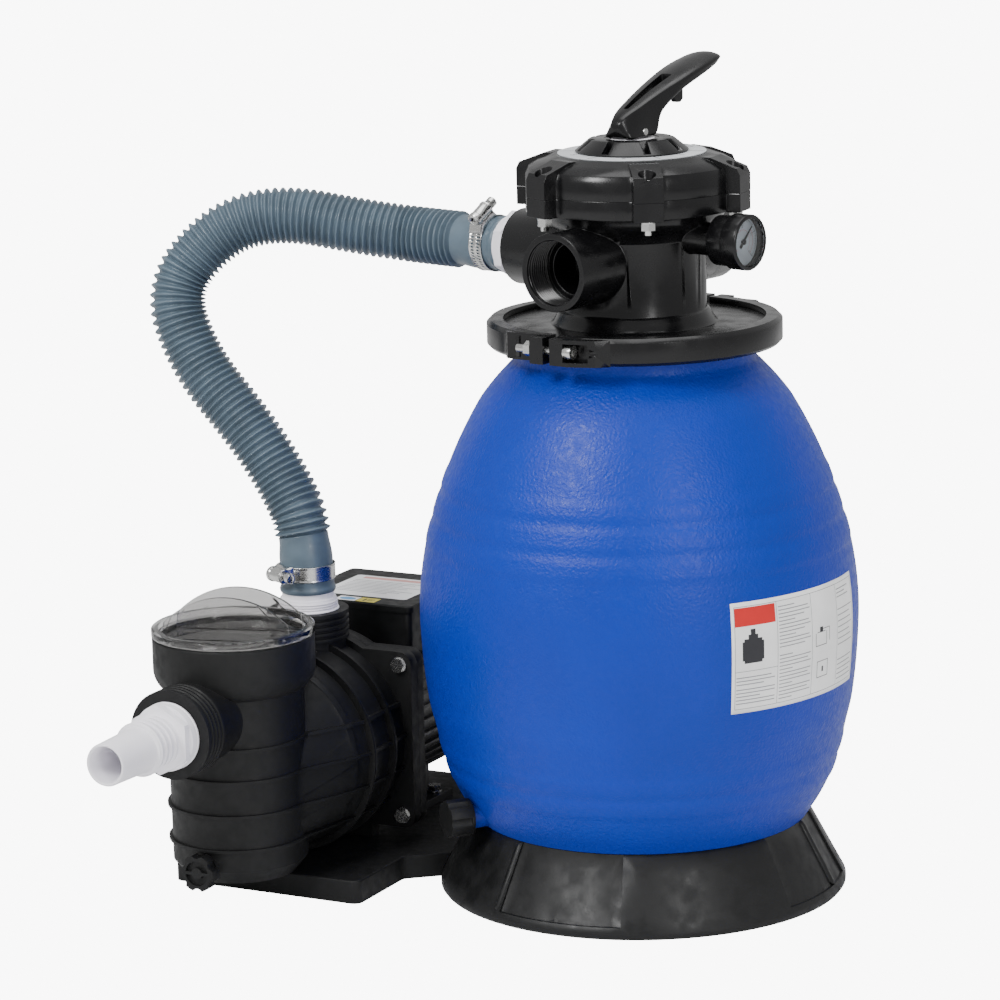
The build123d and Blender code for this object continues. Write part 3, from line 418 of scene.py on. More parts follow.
def hexagon_data(across, bottom, top, bore, edge=0.6):
    """Hollow hexagon with a turned-down chamfer at both ends, in mm."""
    corner = across / 2 / math.cos(math.pi / 6)
    levels = [(bottom, bore), (bottom, across / 2 - edge), (bottom + edge, None),
              (top - edge, None), (top, across / 2 - edge), (top, bore)]
    vertices, faces = [], []
    around = 48
    for height, radius in levels:
        for k in range(around):
            angle = 2 * math.pi * k / around
            wedge = (angle + math.pi / 6) % (math.pi / 3) - math.pi / 6
            flat = across / 2 / math.cos(wedge)
            out = radius if radius else min(flat, corner * 0.985)
            vertices.append(Vector((out * math.cos(angle), out * math.sin(angle), height)) * MM)
    for i in range(len(levels)):
        j = (i + 1) % len(levels)
        for k in range(around):
            n = (k + 1) % around
            faces.append((i * around + k, i * around + n, j * around + n, j * around + k))
    return vertices, faces


def box_data(x0, x1, y0, y1, z0, z1):
    vertices = [Vector((x, y, z)) * MM for z in (z0, z1) for y in (y0, y1) for x in (x0, x1)]
    faces = [(0, 1, 3, 2), (4, 6, 7, 5), (0, 4, 5, 1), (2, 3, 7, 6), (0, 2, 6, 4), (1, 5, 7, 3)]
    return vertices, faces


def loft_data(rings):
    """Closed shell through rings of equal length, its ends filled."""
    around = len(rings[0])
    vertices = [v for loop in rings for v in loop]
    faces = []
    for i in range(len(rings) - 1):
        for k in range(around):
            n = (k + 1) % around
            faces.append((i * around + k, i * around + n,
                          (i + 1) * around + n, (i + 1) * around + k))
    last = (len(rings) - 1) * around
    faces.append(tuple(range(around - 1, -1, -1)))
    faces.append(tuple(last + k for k in range(around)))
    return vertices, faces


def finish_modifiers(piece):
    """Applies a piece's modifiers, so its mesh is final."""
    graph = bpy.context.evaluated_depsgraph_get()
    mesh = bpy.data.meshes.new_from_object(piece.evaluated_get(graph), depsgraph=graph)
    piece.modifiers.clear()
    old = piece.data
    piece.data = mesh
    bpy.data.meshes.remove(old)
    mesh.name = piece.name


def round_edges(piece, width, segments=3, angle=30):
    bevel = piece.modifiers.new("edge", "BEVEL")
    bevel.width = width * MM
    bevel.segments = segments
    bevel.limit_method = "ANGLE"
    bevel.angle_limit = math.radians(angle)


VALVE = Matrix.Rotation(VALVE_TURN, 4, "Z")
PORT_A = outward(-102, PORT_Z)
PORT_B = outward(168, PORT_Z)
PORT_C = outward(78, PORT_Z)
GAUGE = outward(-12, GAUGE_Z)
OUTLET = Matrix.Translation((PUMP_X, OUTLET_Y, 0))
INLET = axis_frame((PUMP_X, 0, INLET_Z), (0, -1, 0), (0, 0, 1))
VALVE_CLAMP = PORT_B @ Matrix.Translation((0, 0, VALVE_BARB_START + BAND_START)) \
    @ Matrix.Rotation(math.radians(-30), 4, "Z")
PUMP_CLAMP = OUTLET @ Matrix.Translation((0, 0, PUMP_BARB_START + BAND_START)) \
    @ Matrix.Rotation(math.radians(155), 4, "Z")


# ---- hose -------------------------------------------------------------------------------
HOSE_ROUTE = [
    (-0.1164, 0.02474, 0.480),
    (-0.18585, 0.0395, 0.480),
    (-0.240, 0.025, 0.487),
    (-0.307, 0.009, 0.499),
    (-0.350, -0.013, 0.486),
    (-0.382, -0.037, 0.441),
    (-0.357, -0.043, 0.386),
    (-0.310, -0.042, 0.336),
    (-0.280, -0.042, 0.295),
    (-0.260, -0.048, 0.262),
    (-0.260, -0.048, 0.214),
]
HOSE_VALLEY_R = 0.0182
HOSE_BORE_R = 0.0172
CUFF_LENGTH = 0.044
RIB_PITCH = 0.0054
RIB_STEPS = 10


def hose_centreline(step):
    """Points along the hose's own NURBS curve, evenly spaced."""
    data = bpy.data.curves.new("hose_line", "CURVE")
    data.dimensions = "3D"
    data.resolution_u = 32
    spline = data.splines.new("NURBS")
    spline.points.add(len(HOSE_ROUTE) - 1)
    for point, place in zip(spline.points, HOSE_ROUTE):
        point.co = (*place, 1)
    spline.order_u = 3
    spline.use_endpoint_u = True
    curve = bpy.data.objects.new("hose_line", data)
    bpy.context.scene.collection.objects.link(curve)
    bpy.context.view_layer.update()
    line = bpy.data.meshes.new_from_object(curve)
    fine = [vertex.co.copy() for vertex in line.vertices]
    bpy.data.objects.remove(curve)
    bpy.data.meshes.remove(line)
    return evenly(fine, step)


def evenly(points, step):
    """The same line, as points this far apart."""
    total = sum((b - a).length for a, b in zip(points, points[1:]))
    count = max(2, round(total / step))
    spacing = total / count
    result = [points[0].copy()]
    run = 0.0
    for a, b in zip(points, points[1:]):
        length = (b - a).length
        while len(result) < count and run + length >= spacing * len(result) - 1e-12:
            share = (spacing * len(result) - run) / length if length else 0
            result.append(a.lerp(b, share))
        run += length
    result.append(points[-1].copy())
    return result


def tangents_and_sides(points):
    """A tangent and an untwisting side vector at each point of a line."""
    tangents = []
    for i in range(len(points)):
        before, after = points[max(0, i - 1)], points[min(len(points) - 1, i + 1)]
        tangents.append((after - before).normalized())
    side = tangents[0].orthogonal().normalized()
    sides = [side]
    for tangent in tangents[1:]:
        side = (side - tangent * side.dot(tangent)).normalized()
        sides.append(side)
    return tangents, sides


def smoothstep(x):
    x = min(1.0, max(0.0, x))
    return x * x * (3 - 2 * x)


def hose_radius(run, total):
    """Outside radius: smooth cuffs with a lip at each end, ribs between them."""
    from_end = min(run, total - run)
    if from_end < CUFF_LENGTH:
        lip = 0.0011 * math.exp(-((from_end - 0.0022) / 0.0022) ** 2)
        waist = 0.0014 * smoothstep((from_end - 0.026) / 0.016)
        return 0.0206 + lip - waist
    ribs = (from_end - CUFF_LENGTH) / RIB_PITCH
    crest = (0.5 - 0.5 * math.cos(2 * math.pi * ribs)) ** 1.15
    return HOSE_VALLEY_R + (HOSE_R - HOSE_VALLEY_R - 0.0001) * crest


def add_hose():
    line = hose_centreline(RIB_PITCH / RIB_STEPS)
    tangents, sides = tangents_and_sides(line)
    total = sum((b - a).length for a, b in zip(line, line[1:]))
    spacing = total / (len(line) - 1)
    around = 72
    vertices, faces = [], []

    def add_loop(index, radius):
        across = tangents[index].cross(sides[index])
        for k in range(around):
            angle = 2 * math.pi * k / around
            out = math.cos(angle) * sides[index] + math.sin(angle) * across
            vertices.append(line[index] + out * radius)

    for i in range(len(line)):
        add_loop(i, hose_radius(i * spacing, total))
    for i in range(len(line) - 1, -1, -4):
        add_loop(i, HOSE_BORE_R)
    loops = len(vertices) // around
    for a in range(loops):
        b = (a + 1) % loops
        for k in range(around):
            n = (k + 1) % around
            faces.append((a * around + k, a * around + n, b * around + n, b * around + k))
    hose = add_mesh("hose_ribbed", vertices, faces, "hose_grey", smooth=60)
    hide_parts("hose")


# ---- hose adapters and clamps --------------------------------------------------------------
def barbs(start, count, pitch, low, high):
    """Saw-tooth steps outward along a spigot, as outline points."""
    points = []
    for k in range(count):
        points += [(low, start + k * pitch), (high, start + (k + 1) * pitch - 0.5)]
    return points


def add_adapters():
    start, end = HOSE_PORT_REACH / MM, VALVE_BARB_START / MM
    outline = [(15, start - 12), (23.8, start - 12), (23.8, start), (25.4, start + 0.2),
               (25.6, start + 2.6), (24.4, start + 3), (21, start + 3.2), (21.4, end - 4),
               (21.8, end - 3.4), (21.6, end - 0.6), (18.8, end - 0.2)]
    outline += [(18.8, end + 22), (15.4, end + 23.6), (15, end + 23)]
    adapter = add_lathe("valve_adapter_body", outline, PORT_B, "white_plastic",
                        extra=[hexagon_data(46, start + 3, end - 3.2, 20)])
    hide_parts("hose_adapter_valve")

    start, end = OUTLET_TOP / MM, PUMP_BARB_START / MM
    outline = [(15, start - 14), (23.8, start - 14), (23.8, start + 0.4), (22.9, start + 1)]
    outline += barbs(start + 1.4, 3, 1.9, 22.3, 22.9)
    outline += [(21.9, start + 7.6), (21.6, start + 9), (20.2, start + 10), (19.9, end - 0.3),
                (18.8, end), (18.8, end + 22), (15.4, end + 23.6), (15, end + 23)]
    adapter = add_lathe("pump_adapter_body", outline, OUTLET, "white_plastic")
    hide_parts("hose_adapter_pump")


def add_suction_adapter():
    """Stepped spigot: flange, hexagon, barbed large step, smooth tapered small end."""
    face = INLET_FACE / MM
    outline = [(13.2, face - 16), (23.8, face - 16), (23.8, face - 0.5), (25.3, face + 0.2),
               (25.5, face + 1.6), (24.8, face + 2.2), (24.8, face + 3.4), (25.3, face + 4),
               (25.1, face + 8.6), (23.6, face + 9.4), (22, face + 9.6), (22, face + 16.2),
               (20.4, face + 17)]
    outline += barbs(face + 17.4, 4, 6.4, 18.9, 20.4)
    outline += [(19.6, face + 43.4), (19.2, face + 44.4), (17.6, face + 45), (17.0, face + 46.6),
                (15.9, face + 86.6), (15.4, face + 87.8), (14.6, face + 88),
                (13.6, face + 87.2), (13.2, face + 85.6)]
    spigot = add_lathe("suction_spigot", outline, INLET, "white_plastic",
                       extra=[hexagon_data(46, face + 9.2, face + 16.4, 20)])
    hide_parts("suction_adapter")


BAND_R = 21.0
BAND_WIDTH = 12.0
BAND_ROLL = 0.35          # how far the rolled edges stand up
SCREW_R = 27.0            # the screw's distance from the hose's axis


def add_clamp(tag, place, node, screw_node, screw_body, perforated):
    """Worm clamp: rolled band with slots, saddle, barrel housing and slotted screw.

    perforated is where the slots start around the band and how far they go, in degrees.
    """
    columns = 216
    rows = [0, 0.5, 2.2, 4.4, 5.4, 6.6, 7.6, 9.8, 11.5, BAND_WIDTH]
    slot_rows = (2, 6)
    vertices, faces = [], []
    for k in range(columns):
        angle = 2 * math.pi * k / columns
        for height in rows:
            out = BAND_R + (BAND_ROLL if height in (0, BAND_WIDTH) else 0.0)
            vertices.append(place @ round_point(out, angle, height))
    count = len(rows)
    for k in range(columns):
        n = (k + 1) % columns
        degrees = 360 * k / columns
        holes = (degrees - perforated[0]) % 360 < perforated[1] and k % 4 in (0, 1)
        for i in range(count - 1):
            if holes and i in slot_rows:
                continue
            faces.append((k * count + i, n * count + i, n * count + i + 1, k * count + i + 1))
    band = add_mesh(f"{tag}_band", vertices, faces, "steel")
    shell = band.modifiers.new("gauge", "SOLIDIFY")
    shell.thickness = 0.7 * MM
    shell.offset = 1
    finish_modifiers(band)
    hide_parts(node)

    screw_line = place @ Matrix.Translation((0, SCREW_R * MM, BAND_WIDTH / 2 * MM)) \
        @ axis_frame((0, 0, 0), (1, 0, 0), (0, 1, 0))
    barrel = [(3.0, -9), (5.2, -9), (5.8, -8.4), (5.9, -7), (5.5, -6.2), (5.5, 4.6),
              (6.0, 5.4), (6.0, 8.2), (5.4, 9.2), (3.8, 9.6), (3.0, 9)]
    saddle = []
    for x, bulge in ((-9.5, 0.0), (-8, 1.6), (8, 1.6), (12.5, 0.2)):
        loop = []
        for y, z in ((21.9, -0.4), (21.9 + bulge, -0.6), (23.4 + 2 * bulge, 0.6),
                     (23.4 + 2 * bulge, 11.4), (21.9 + bulge, 12.6), (21.9, 12.4), (21.6, 6)):
            loop.append(place @ (Vector((x, math.sqrt(max(0, y * y - x * x)), z)) * MM))
        saddle.append(loop)
    saddle_vertices, saddle_faces = loft_data(saddle)
    inverse = screw_line.inverted()
    housing = add_lathe(f"{tag}_housing", barrel, screw_line, "steel", segments=48,
                        extra=[([inverse @ v for v in saddle_vertices], saddle_faces)])
    round_edges(housing, 0.3, 2)
    finish_modifiers(housing)

    worm = [(0.01, -17.4), (3.2, -17.4), (4.0, -16.8), (4.0, -12.6), (2.9, -12.2), (2.4, -11.8),
            (2.4, -9)]
    for k in range(5):
        worm += [(2.85, -8.4 + 3 * k), (2.85, -7.4 + 3 * k), (2.3, -6.6 + 3 * k)]
    worm += [(2.3, 7.4), (0.01, 7.6)]
    screw = add_lathe(f"{tag}_screw", worm, screw_line, "steel", screw_body, segments=36,
                      extra=[hexagon_data(7.2, -13.6, -11.2, 2.0, 0.3)])
    corners, sides = box_data(-5, 5, -0.5, 0.5, -18, -15.6)
    cut_away(screw, add_mesh("cutter", [screw_line @ v for v in corners], sides, "steel"))
    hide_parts(screw_node)


def cut_away(piece, cutter):
    cut = piece.modifiers.new("cut", "BOOLEAN")
    cut.operation = "DIFFERENCE"
    cut.solver = "EXACT"
    cut.object = cutter
    finish_modifiers(piece)
    bpy.data.objects.remove(cutter)


# ---- valve details --------------------------------------------------------------------------
THREAD_PITCH = 2.309
THREAD_ROOT_R = 24.05
THREAD_DEPTH = 25


def add_port_thread(name, place, reach):
    """Pipe thread inside an open port: a helical ridge, eleven turns to the inch."""
    turns, steps = 10, 60
    profile = [(THREAD_ROOT_R, 0.0), (THREAD_ROOT_R, 1.5), (THREAD_ROOT_R - 1, 0.95),
               (THREAD_ROOT_R - 1, 0.55)]
    vertices, faces = [], []
    total = turns * steps
    for k in range(total + 1):
        angle = 2 * math.pi * k / steps
        fade = min(1, k / steps, (total - k) / steps)
        for radius, height in profile:
            out = THREAD_ROOT_R - (THREAD_ROOT_R - radius) * fade
            along = reach / MM - THREAD_DEPTH + THREAD_PITCH * k / steps + height
            vertices.append(place @ round_point(out, angle, along))
    for k in range(total):
        for i in range(4):
            j = (i + 1) % 4
            faces.append((k * 4 + i, k * 4 + j, k * 4 + 4 + j, k * 4 + 4 + i))
    faces += [(3, 2, 1, 0), tuple(total * 4 + i for i in range(4))]
    add_mesh(name, vertices, faces, "gloss_black", smooth=20)


HANDLE_STATIONS = [
    # top (y, z), underside (y, z), half width at the top, half width below
    ((-21.0, 579.5), (-18.6, 568.6), 4.0, 13.0),
    ((-15.4, 585.6), (-12.0, 568.6), 6.0, 13.5),
    ((-6.0, 590.6), (-4.0, 568.6), 9.0, 13.6),
    ((3.4, 594.6), (5.0, 568.6), 10.2, 13.6),
    ((11.0, 598.2), (15.2, 568.8), 11.3, 13.6),
    ((20.0, 601.9), (15.9, 577.5), 12.4, 13.5),
    ((28.0, 605.2), (19.2, 585.0), 13.4, 13.4),
    ((36.0, 608.1), (26.5, 589.6), 14.4, 13.7),
    ((48.0, 612.5), (35.0, 595.2), 15.9, 14.3),
    ((59.0, 616.1), (46.0, 600.6), 16.6, 15.3),
    ((70.0, 619.2), (59.0, 605.4), 16.9, 16.2),
    ((80.0, 621.5), (73.0, 609.9), 16.3, 16.0),
    ((88.0, 623.4), (84.0, 613.4), 15.4, 15.0),
    ((95.0, 623.6), (92.4, 615.8), 13.2, 12.4),
    ((98.6, 621.6), (97.8, 618.0), 8.6, 8.0),
]


SHOULDER = 1.2            # height of the rounding between the handle's faces and sides


def handle_section(top, under, top_half, under_half):
    """Rounded cross section of the handle: crowned top, leaning sides."""
    crown = min(3.2, top_half * 0.2)
    loop = []
    for share in (-0.93, -0.66, -0.33, 0, 0.33, 0.66, 0.93):
        loop.append((share * top_half, top, -crown * share * share))
    loop += [(top_half, top, -crown - SHOULDER), (None, 0.35, 1), (None, 0.65, 1),
             (under_half, under, SHOULDER)]
    loop += [(under_half * 0.92, under, 0), (0.45 * under_half, under, 0), (0, under, 0),
             (-0.45 * under_half, under, 0), (-under_half * 0.92, under, 0)]
    loop += [(-under_half, under, SHOULDER), (None, 0.65, -1), (None, 0.35, -1),
             (-top_half, top, -crown - SHOULDER)]
    points = []
    for x, spot, lift in loop:
        if x is None:
            start = Vector((top_half, top[0], top[1] - crown - SHOULDER))
            end = Vector((under_half, under[0], under[1] + SHOULDER))
            point = start.lerp(end, spot)
            point.x *= lift
        else:
            point = Vector((x, spot[0], spot[1] + lift))
        points.append(VALVE @ (point * MM))
    return points


def add_handle():
    vertices, faces = loft_data([handle_section(*station) for station in HANDLE_STATIONS])
    handle = add_mesh("handle_grip", vertices, faces, "gloss_black", "handle", smooth=50)
    smooth = handle.modifiers.new("smooth", "SUBSURF")
    smooth.levels = smooth.render_levels = 2
    finish_modifiers(handle)
    top = [(-7.0, 2.0), (44.0, 4.8)]
    pocket = []
    for depth in (-14, 14):
        loop = []
        for y, half in top:
            height = 590 + (y + 7) * 0.42 + depth
            corners = [(-half, y), (half, y)] if y < 0 else [(half, y), (-half, y)]
            loop += [VALVE @ (Vector((x, along, height)) * MM) for x, along in corners]
        pocket.append(loop)
    cutter = add_mesh("cutter", *loft_data(pocket), "gloss_black")
    round_edges(cutter, 1.2, 3)
    finish_modifiers(cutter)
    cut_away(handle, cutter)
    pin_line = VALVE @ axis_frame((0, 0, PIN_Z * MM), (1, 0, 0), (0, 1, 0))
    stem_way = add_lathe("cutter", [(0.01, -9.4), (11.8, -9.4), (11.8, 9.4), (0.01, 9.4)], pin_line,
                         "gloss_black")
    cut_away(handle, stem_way)
    handle.data.shade_smooth()
    handle.data.set_sharp_from_angle(angle=math.radians(35))
    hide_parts("valve_handle")

    outline = [(48, 602.4), (48.8, 593), (52.6, 588.8), (57.6, 588.4), (61, 590.8), (61, 606.4)]
    sides = [[VALVE @ (Vector((x, y, z)) * MM) for y, z in outline] for x in (-2.5, 2.5)]
    trigger = add_mesh("handle_stop", *loft_data(sides), "gloss_black", "handle")
    round_edges(trigger, 0.9)
    finish_modifiers(trigger)


def add_stem_cone():
    """Raised black cone the handle turns on, with eight slots in its rim."""
    outline = [(20.2, 558.6), (41.2, 558.6), (42, 559.4), (31.8, 567.8), (30.6, 568.3),
               (20.2, 568.3)]
    cone = add_lathe("stem_cone", outline, Matrix.Identity(4), "gloss_black")
    vertices, faces = [], []
    block_vertices, block_faces = box_data(28.5, 44, -2.9, 2.9, 560.2, 572)
    for k in range(8):
        turn = Matrix.Rotation(math.radians(-48.5 + 45 * k), 4, "Z")
        faces += [tuple(len(vertices) + v for v in face) for face in block_faces]
        vertices += [turn @ v for v in block_vertices]
    cut_away(cone, add_mesh("cutter", vertices, faces, "gloss_black"))
    round_edges(cone, 0.4, 2)
    finish_modifiers(cone)


def flat_marks(name, quads, place, slot, lift, body="root"):
    """Thin printed marks: each quad is four (x, y) points in mm on a level of the frame."""
    vertices, faces = [], []
    for quad in quads:
        base = len(vertices)
        vertices += [place @ (Vector((x, y, lift)) * MM) for x, y in quad]
        faces.append(tuple(range(base, base + len(quad))))
    return add_mesh(name, vertices, faces, slot, body)


def bar(x, y, wide, tall):
    return [(x, y), (x + wide, y), (x + wide, y + tall), (x, y + tall)]


def spoke(angle, inner, outer, half):
    turn = math.radians(angle)
    out = Vector((math.cos(turn), math.sin(turn)))
    side = Vector((-out.y, out.x))
    return [tuple(out * inner - side * half), tuple(out * outer - side * half),
            tuple(out * outer + side * half), tuple(out * inner + side * half)]


def arc_band(start, end, inner, outer, steps=24):
    quads = []
    for k in range(steps):
        a, b = (math.radians(start + (end - start) * (k + s) / steps) for s in (0, 1))
        quads.append([(radius * math.cos(angle), radius * math.sin(angle))
                      for radius, angle in ((inner, a), (outer, a), (outer, b), (inner, b))])
    return quads


def add_text(name, text, place, size, slot, body="root"):
    """Flat generic numerals as a mesh."""
    data = bpy.data.curves.new(name, "FONT")
    data.body = text
    data.size = size * MM
    data.align_x = "CENTER"
    data.align_y = "CENTER"
    source = bpy.data.objects.new(name, data)
    bpy.context.scene.collection.objects.link(source)
    bpy.context.view_layer.update()
    mesh = bpy.data.meshes.new_from_object(source)
    bpy.data.objects.remove(source)
    vertices = [place @ v.co for v in mesh.vertices]
    faces = [tuple(face.vertices) for face in mesh.polygons]
    bpy.data.meshes.remove(mesh)
    return add_mesh(name, vertices, faces, slot, body)


DIAL_FACE = 98.78
DIAL_NUMBER_R = 11.2


def add_gauge_print():
    """Scale of the pressure gauge: two rows of ticks, red zones and numerals."""
    # local X is to the right and local Y up for someone facing the dial
    ticks = []
    for k in range(41):
        angle = 225 - 270 * k / 40
        long_tick = k % 10 == 0
        ticks.append(spoke(angle, 13.4 if long_tick else 14.8, 16.6, 0.22 if long_tick else 0.1))
    ticks += arc_band(-45, 225, 16.5, 16.75, 60)
    flat_marks("dial_ticks", ticks, GAUGE, "black_moulding", DIAL_FACE)
    red = arc_band(-45, 40, 12.6, 12.9, 20) + arc_band(-45, 225, 8.8, 8.95, 50)
    red += [spoke(225 - 270 * k / 28, 7.9 if k % 4 == 0 else 8.4, 8.9, 0.1) for k in range(29)]
    flat_marks("dial_red", red, GAUGE, "mark_red", DIAL_FACE + 0.02)
    for k in range(5):
        angle = math.radians(225 - 270 * k / 4)
        spot = GAUGE @ Matrix.Translation(round_point(DIAL_NUMBER_R, angle, DIAL_FACE))
        add_text(f"dial_number_{k}", str(k), spot, 3.0, "black_moulding")


POSITION_NUMBER_R = 46.5


def add_position_marks():
    """Six divisions and numerals on the valve's position disc."""
    height = DOME_Z / MM + 0.96
    quads = [spoke(30 + 60 * k, 39.5, 53.8, 0.35) for k in range(6)]
    flat_marks("position_lines", quads, VALVE, "black_moulding", height)
    for k in range(6):
        angle = math.radians(60 * k)
        spot = VALVE @ Matrix.Translation(round_point(POSITION_NUMBER_R, angle, height)) \
            @ Matrix.Rotation(angle + math.pi / 2, 4, "Z")
        add_text(f"position_number_{k + 1}", str(k + 1), spot, 7, "black_moulding")


# ---- tank -----------------------------------------------------------------------------------
TANK_WALL = [(126, 57), (136.5, 73), (145.2, 91), (151, 110), (155.6, 129), (160, 148), (164, 185),
             (165, 224), (160.4, 262), (150.6, 298), (137, 335), (118, 372), (106, 388), (94, 401)]
BELTS = [(88, 101), (106, 119), (268, 283), (289, 304), (310, 323)]


def tank_radius(height):
    """Outside radius of the tank's wall at a height, in mm, through the points above."""
    points = TANK_WALL
    for i in range(len(points) - 1):
        if height <= points[i + 1][1] or i == len(points) - 2:
            break
    r = [points[min(max(i + k, 0), len(points) - 1)][0] for k in (-1, 0, 1, 2)]
    z = [points[min(max(i + k, 0), len(points) - 1)][1] for k in (-1, 0, 1, 2)]
    low = (r[2] - r[0]) / max(1e-6, z[2] - z[0])
    high = (r[3] - r[1]) / max(1e-6, z[3] - z[1])
    span = z[2] - z[1]
    t = min(1, max(0, (height - z[1]) / span))
    return ((2 * t**3 - 3 * t**2 + 1) * r[1] + (t**3 - 2 * t**2 + t) * span * low
            + (-2 * t**3 + 3 * t**2) * r[2] + (t**3 - t**2) * span * high)


def belt_lift(height):
    return max(0.75 * smoothstep((height - low + 2) / 5) * smoothstep((high + 2 - height) / 5)
               for low, high in BELTS)


SEAM_ANGLE, SEAM_LOW, SEAM_RISE, SEAM_HALF = -122.5, 300, 0.35, 1.6


def add_tank():
    """Rotomoulded shell: belts, a faint parting line, foot, neck and flange."""
    segments = 288
    outer = []
    steps = 170
    for k in range(steps + 1):
        height = 57 + (401 - 57) * k / steps
        outer.append((tank_radius(height), height, belt_lift(height)))
    neck = [(90.5, 404, 0), (89.2, 407, 0), (89, 412, 0), (89, 420.3, 0), (103, 420.3, 0),
            (103.5, 420.8, 0), (103.5, 425.5, 0), (103, 426, 0), (84.4, 426, 0), (84, 425.6, 0),
            (84, 404, 0)]
    inner = []
    for k in range(40, -1, -1):
        height = 62 + (396 - 62) * k / 40
        inner.append((tank_radius(height) - 5, height, 0))
    foot = [(113.5, 60, 0), (108, 44, 0), (73, 26.5, 0), (0.5, 21, 0), (0.5, 16, 0), (60, 19.5, 0),
            (98, 32, 0), (116, 43.5, 0), (118.5, 47, 0), (119, 54, 0), (121, 56.6, 0)]
    outline = outer + neck + inner + foot
    seam = math.radians(SEAM_ANGLE)
    vertices, faces = [], []
    for k in range(segments):
        angle = 2 * math.pi * k / segments
        away = (angle - seam + math.pi) % (2 * math.pi) - math.pi
        for radius, height, lift in outline:
            ridge = 0.0
            if SEAM_LOW < height < 401:
                fade = smoothstep((height - SEAM_LOW) / 40)
                ridge = SEAM_RISE * math.exp(-(away * radius / SEAM_HALF) ** 2) * fade
            out = (radius + lift + ridge) * MM
            vertices.append((out * math.cos(angle), out * math.sin(angle), height * MM))
    count = len(outline)
    for k in range(segments):
        n = (k + 1) % segments
        for i in range(count):
            j = (i + 1) % count
            faces.append((k * count + i, n * count + i, n * count + j, k * count + j))
    tank = add_mesh("tank_moulding", vertices, faces, "tank_blue", smooth=40)
    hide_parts("tank_shell")
    stub = outward(DRAIN_ANGLE, DRAIN_Z)
    outline = [(6.5, 126), (9.2, 126), (9.2, 149.4), (8.8, 150), (6.8, 150), (6.5, 149.6)]
    add_lathe("tank_drain_stub", outline, stub, "tank_blue", segments=48)


SKIRT_SLOPE = 0.525
RIDGE_SUNK = 0.6
RIDGE_SIZES = [(56.4, 1.4), (55.6, 2.6), (53, 3.2), (30, 3.4), (12, 3.6), (9.6, 2.8), (8.8, 1.5)]


def add_base_ridges():
    """Four half-round ribs down the skirt of the base."""
    for index, angle in enumerate((-110.5, 6, 69.5, 186)):
        turn = math.radians(angle)
        out = Vector((math.cos(turn), math.sin(turn), 0))
        side = Vector((-out.y, out.x, 0))
        rings = []
        for height, radius in RIDGE_SIZES:
            away = BASE_TOP_R + (SEAT_Z - height) * SKIRT_SLOPE - RIDGE_SUNK
            centre = out * away + Vector((0, 0, height))
            rings.append([(centre + (out * math.cos(a) + side * math.sin(a)) * radius) * MM
                          for a in [2 * math.pi * k / 20 for k in range(20)]])
        ridge = add_mesh(f"base_ridge_{index + 1}", *loft_data(rings), "black_moulding", smooth=60)
        ridge.data.materials[0] = MATERIALS["satin_black"]


LABEL_ANGLE, LABEL_HALF, LABEL_LOW, LABEL_HIGH = -16.5, 24.5, 168.0, 250.0


def on_tank(u, height, lift):
    """Point on the tank's skin: u mm around from the label's centre, at a height."""
    angle = math.radians(LABEL_ANGLE) + u / 165.0
    out = (tank_radius(height) + lift) * MM
    return Vector((out * math.cos(angle), out * math.sin(angle), height * MM))


def tank_sheet(name, patches, slot, lift):
    """Sheets wrapped on the tank: each patch is u0, u1, low, high, cut into small faces."""
    vertices, faces = [], []
    for u0, u1, low, high in patches:
        columns = max(1, round((u1 - u0) / 3))
        rows = max(1, round((high - low) / 4))
        base = len(vertices)
        for i in range(columns + 1):
            for k in range(rows + 1):
                vertices.append(on_tank(u0 + (u1 - u0) * i / columns,
                                        low + (high - low) * k / rows, lift))
        for i in range(columns):
            for k in range(rows):
                a = base + i * (rows + 1) + k
                faces.append((a, a + rows + 1, a + rows + 2, a + 1))
    return add_mesh(name, vertices, faces, slot, smooth=40)


def text_rows(u0, u1, top, count, pitch, thick, ragged):
    """Grey bars in place of lines of small print; ragged says how much shorter each ends."""
    rows = []
    for k in range(count):
        short = (u1 - u0) * ragged[k % len(ragged)]
        low = top - k * pitch - thick
        rows.append((u0, u1 - short, low, low + thick))
    return rows


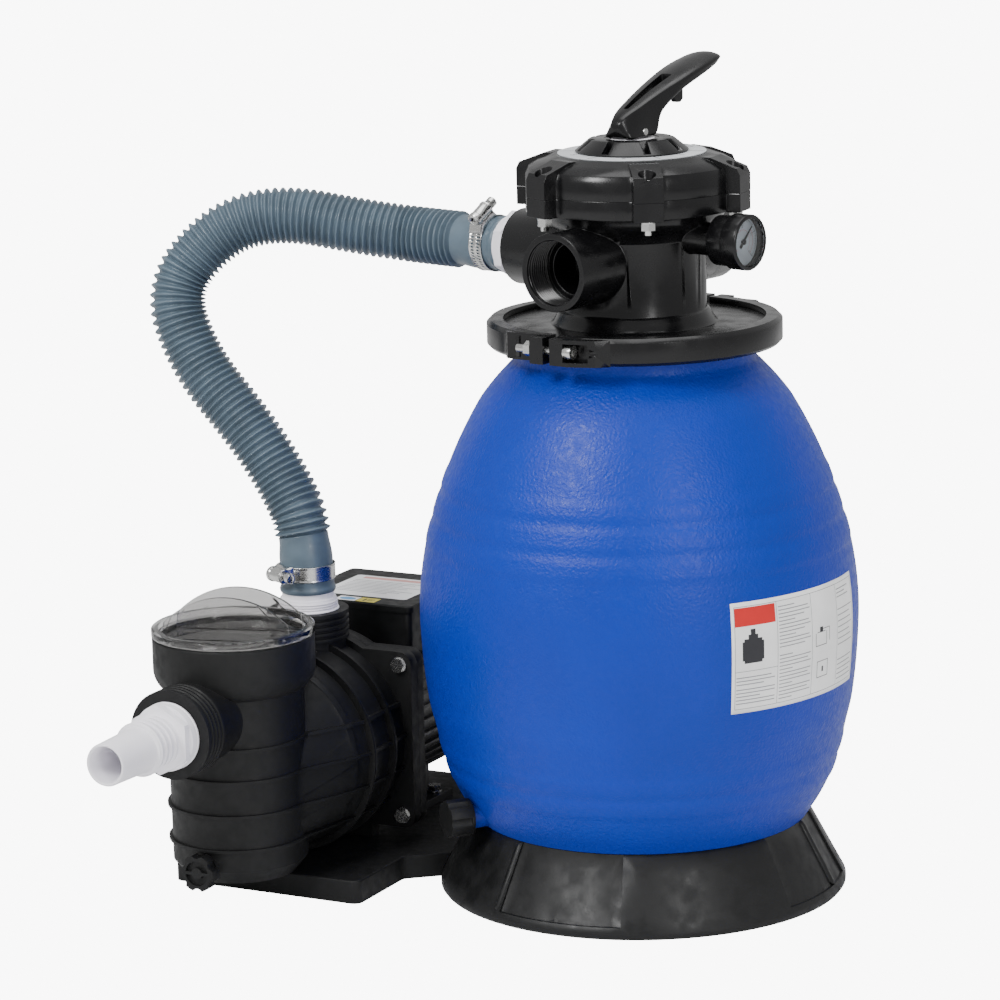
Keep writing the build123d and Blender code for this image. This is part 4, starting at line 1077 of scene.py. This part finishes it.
def add_tank_label():
    half = math.radians(LABEL_HALF) * 165.0
    sheet = tank_sheet("label_sheet", [(-half, half, LABEL_LOW, LABEL_HIGH)], "label_white", 0.42)
    solid = sheet.modifiers.new("film", "SOLIDIFY")
    solid.thickness = 0.35 * MM
    solid.offset = -1
    finish_modifiers(sheet)
    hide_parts("tank_label")
    tank_sheet("label_header", [(-67.7, -33, 232.5, 246)], "mark_red", 0.47)
    columns = (-half + 2.5, -31.8, 3.6, 37.4, half - 2.8)
    rules = [(u, u + 0.4, LABEL_LOW + 3, LABEL_HIGH - 3) for u in columns]
    rules += [(columns[0], columns[-1], v, v + 0.4) for v in (LABEL_LOW + 3, LABEL_HIGH - 3.4)]
    rules += [(columns[0], columns[1], 199, 199.4)]
    rows = text_rows(-67, -34, 195, 3, 2.6, 0.7, (0.1, 0, 0.3))
    rows += text_rows(-67, -34, 186, 5, 2.6, 0.7, (0, 0, 0.4))
    rows += text_rows(-30, 2, 243, 12, 2.7, 0.7, (0.5, 0.05, 0, 0.2))
    rows += text_rows(-30, 2, 207, 13, 2.7, 0.7, (0.6, 0, 0.1, 0))
    rows += text_rows(39, 60, 243, 3, 2.9, 0.7, (0, 0.3))
    rows += text_rows(39, 66, 228, 7, 4.4, 0.7, (0, 0.2, 0.1))
    rows += text_rows(39, 66, 190, 5, 3.6, 0.7, (0, 0.1))
    tank_sheet("label_print", rows + rules, "mark_grey", 0.46)
    drum = [(-62, -44, 207, 221), (-60.5, -45.5, 205, 223), (-57, -49, 223, 226),
            (-55, -51, 226, 230)]
    valve = [(8, 22, 206, 206.5), (8, 8.5, 206, 216), (21.5, 22, 206, 216), (10, 20, 216, 216.5),
             (13, 17, 216.5, 220), (17, 26, 218, 218.5), (25.6, 26.1, 208, 218),
             (10, 24, 182, 182.5), (10, 10.5, 182, 194), (23.5, 24, 182, 194),
             (10, 24, 194, 194.5), (16, 18, 186, 190)]
    tank_sheet("label_figures", drum + valve, "mark_dark", 0.47)


def add_box_label():
    top = BOX_TOP / MM
    place = Matrix.Identity(4)
    sheet = [(-294, 31), (-220, 31), (-218, 33), (-218, 94), (-220, 96), (-294, 96), (-296, 94),
             (-296, 33)]
    flat_marks("box_label", [sheet], place, "label_white", top + 0.12)
    flat_marks("box_stripe", [bar(-287, 86, 64, 6)], place, "mark_pink", top + 0.16)
    lines = [bar(-290, 79 - 4.4 * k, 66 - 9 * (k % 3), 1.1) for k in range(9)]
    flat_marks("box_print", lines, place, "mark_grey", top + 0.16)
    flat_marks("sticker_white", [bar(-273, 14, 18.5, 12.5)], place, "label_white", top + 0.12)
    oval = [(-263.7 + 7 * math.cos(a), 20.2 + 4 * math.sin(a))
            for a in [2 * math.pi * k / 32 for k in range(32)]]
    flat_marks("sticker_oval", [oval], place, "mark_blue", top + 0.16)
    flat_marks("sticker_yellow", [bar(-254, 14, 17, 12.5)], place, "mark_yellow", top + 0.12)
    figure = [bar(-249, 16.5, 1.6, 7), bar(-246, 18, 5, 1.2), bar(-246, 21, 6, 1.2)]
    flat_marks("sticker_figure", figure, place, "mark_dark", top + 0.16)


add_camera()
add_hose()
add_studio()
dress_cad_nodes()
add_adapters()
add_suction_adapter()
add_clamp("valve_clamp", VALVE_CLAMP, "hose_clamp_valve", "hose_clamp_screw_valve",
          "valve_clamp_screw", (125, 290))
add_clamp("pump_clamp", PUMP_CLAMP, "hose_clamp_pump", "hose_clamp_screw_pump",
          "pump_clamp_screw", (-20, 80))
add_port_thread("return_thread", PORT_A, PORT_REACH)
add_port_thread("waste_thread", PORT_C, PORT_REACH)
add_stem_cone()
add_handle()
add_gauge_print()
add_position_marks()
add_tank()
add_base_ridges()
add_tank_label()
add_box_label()
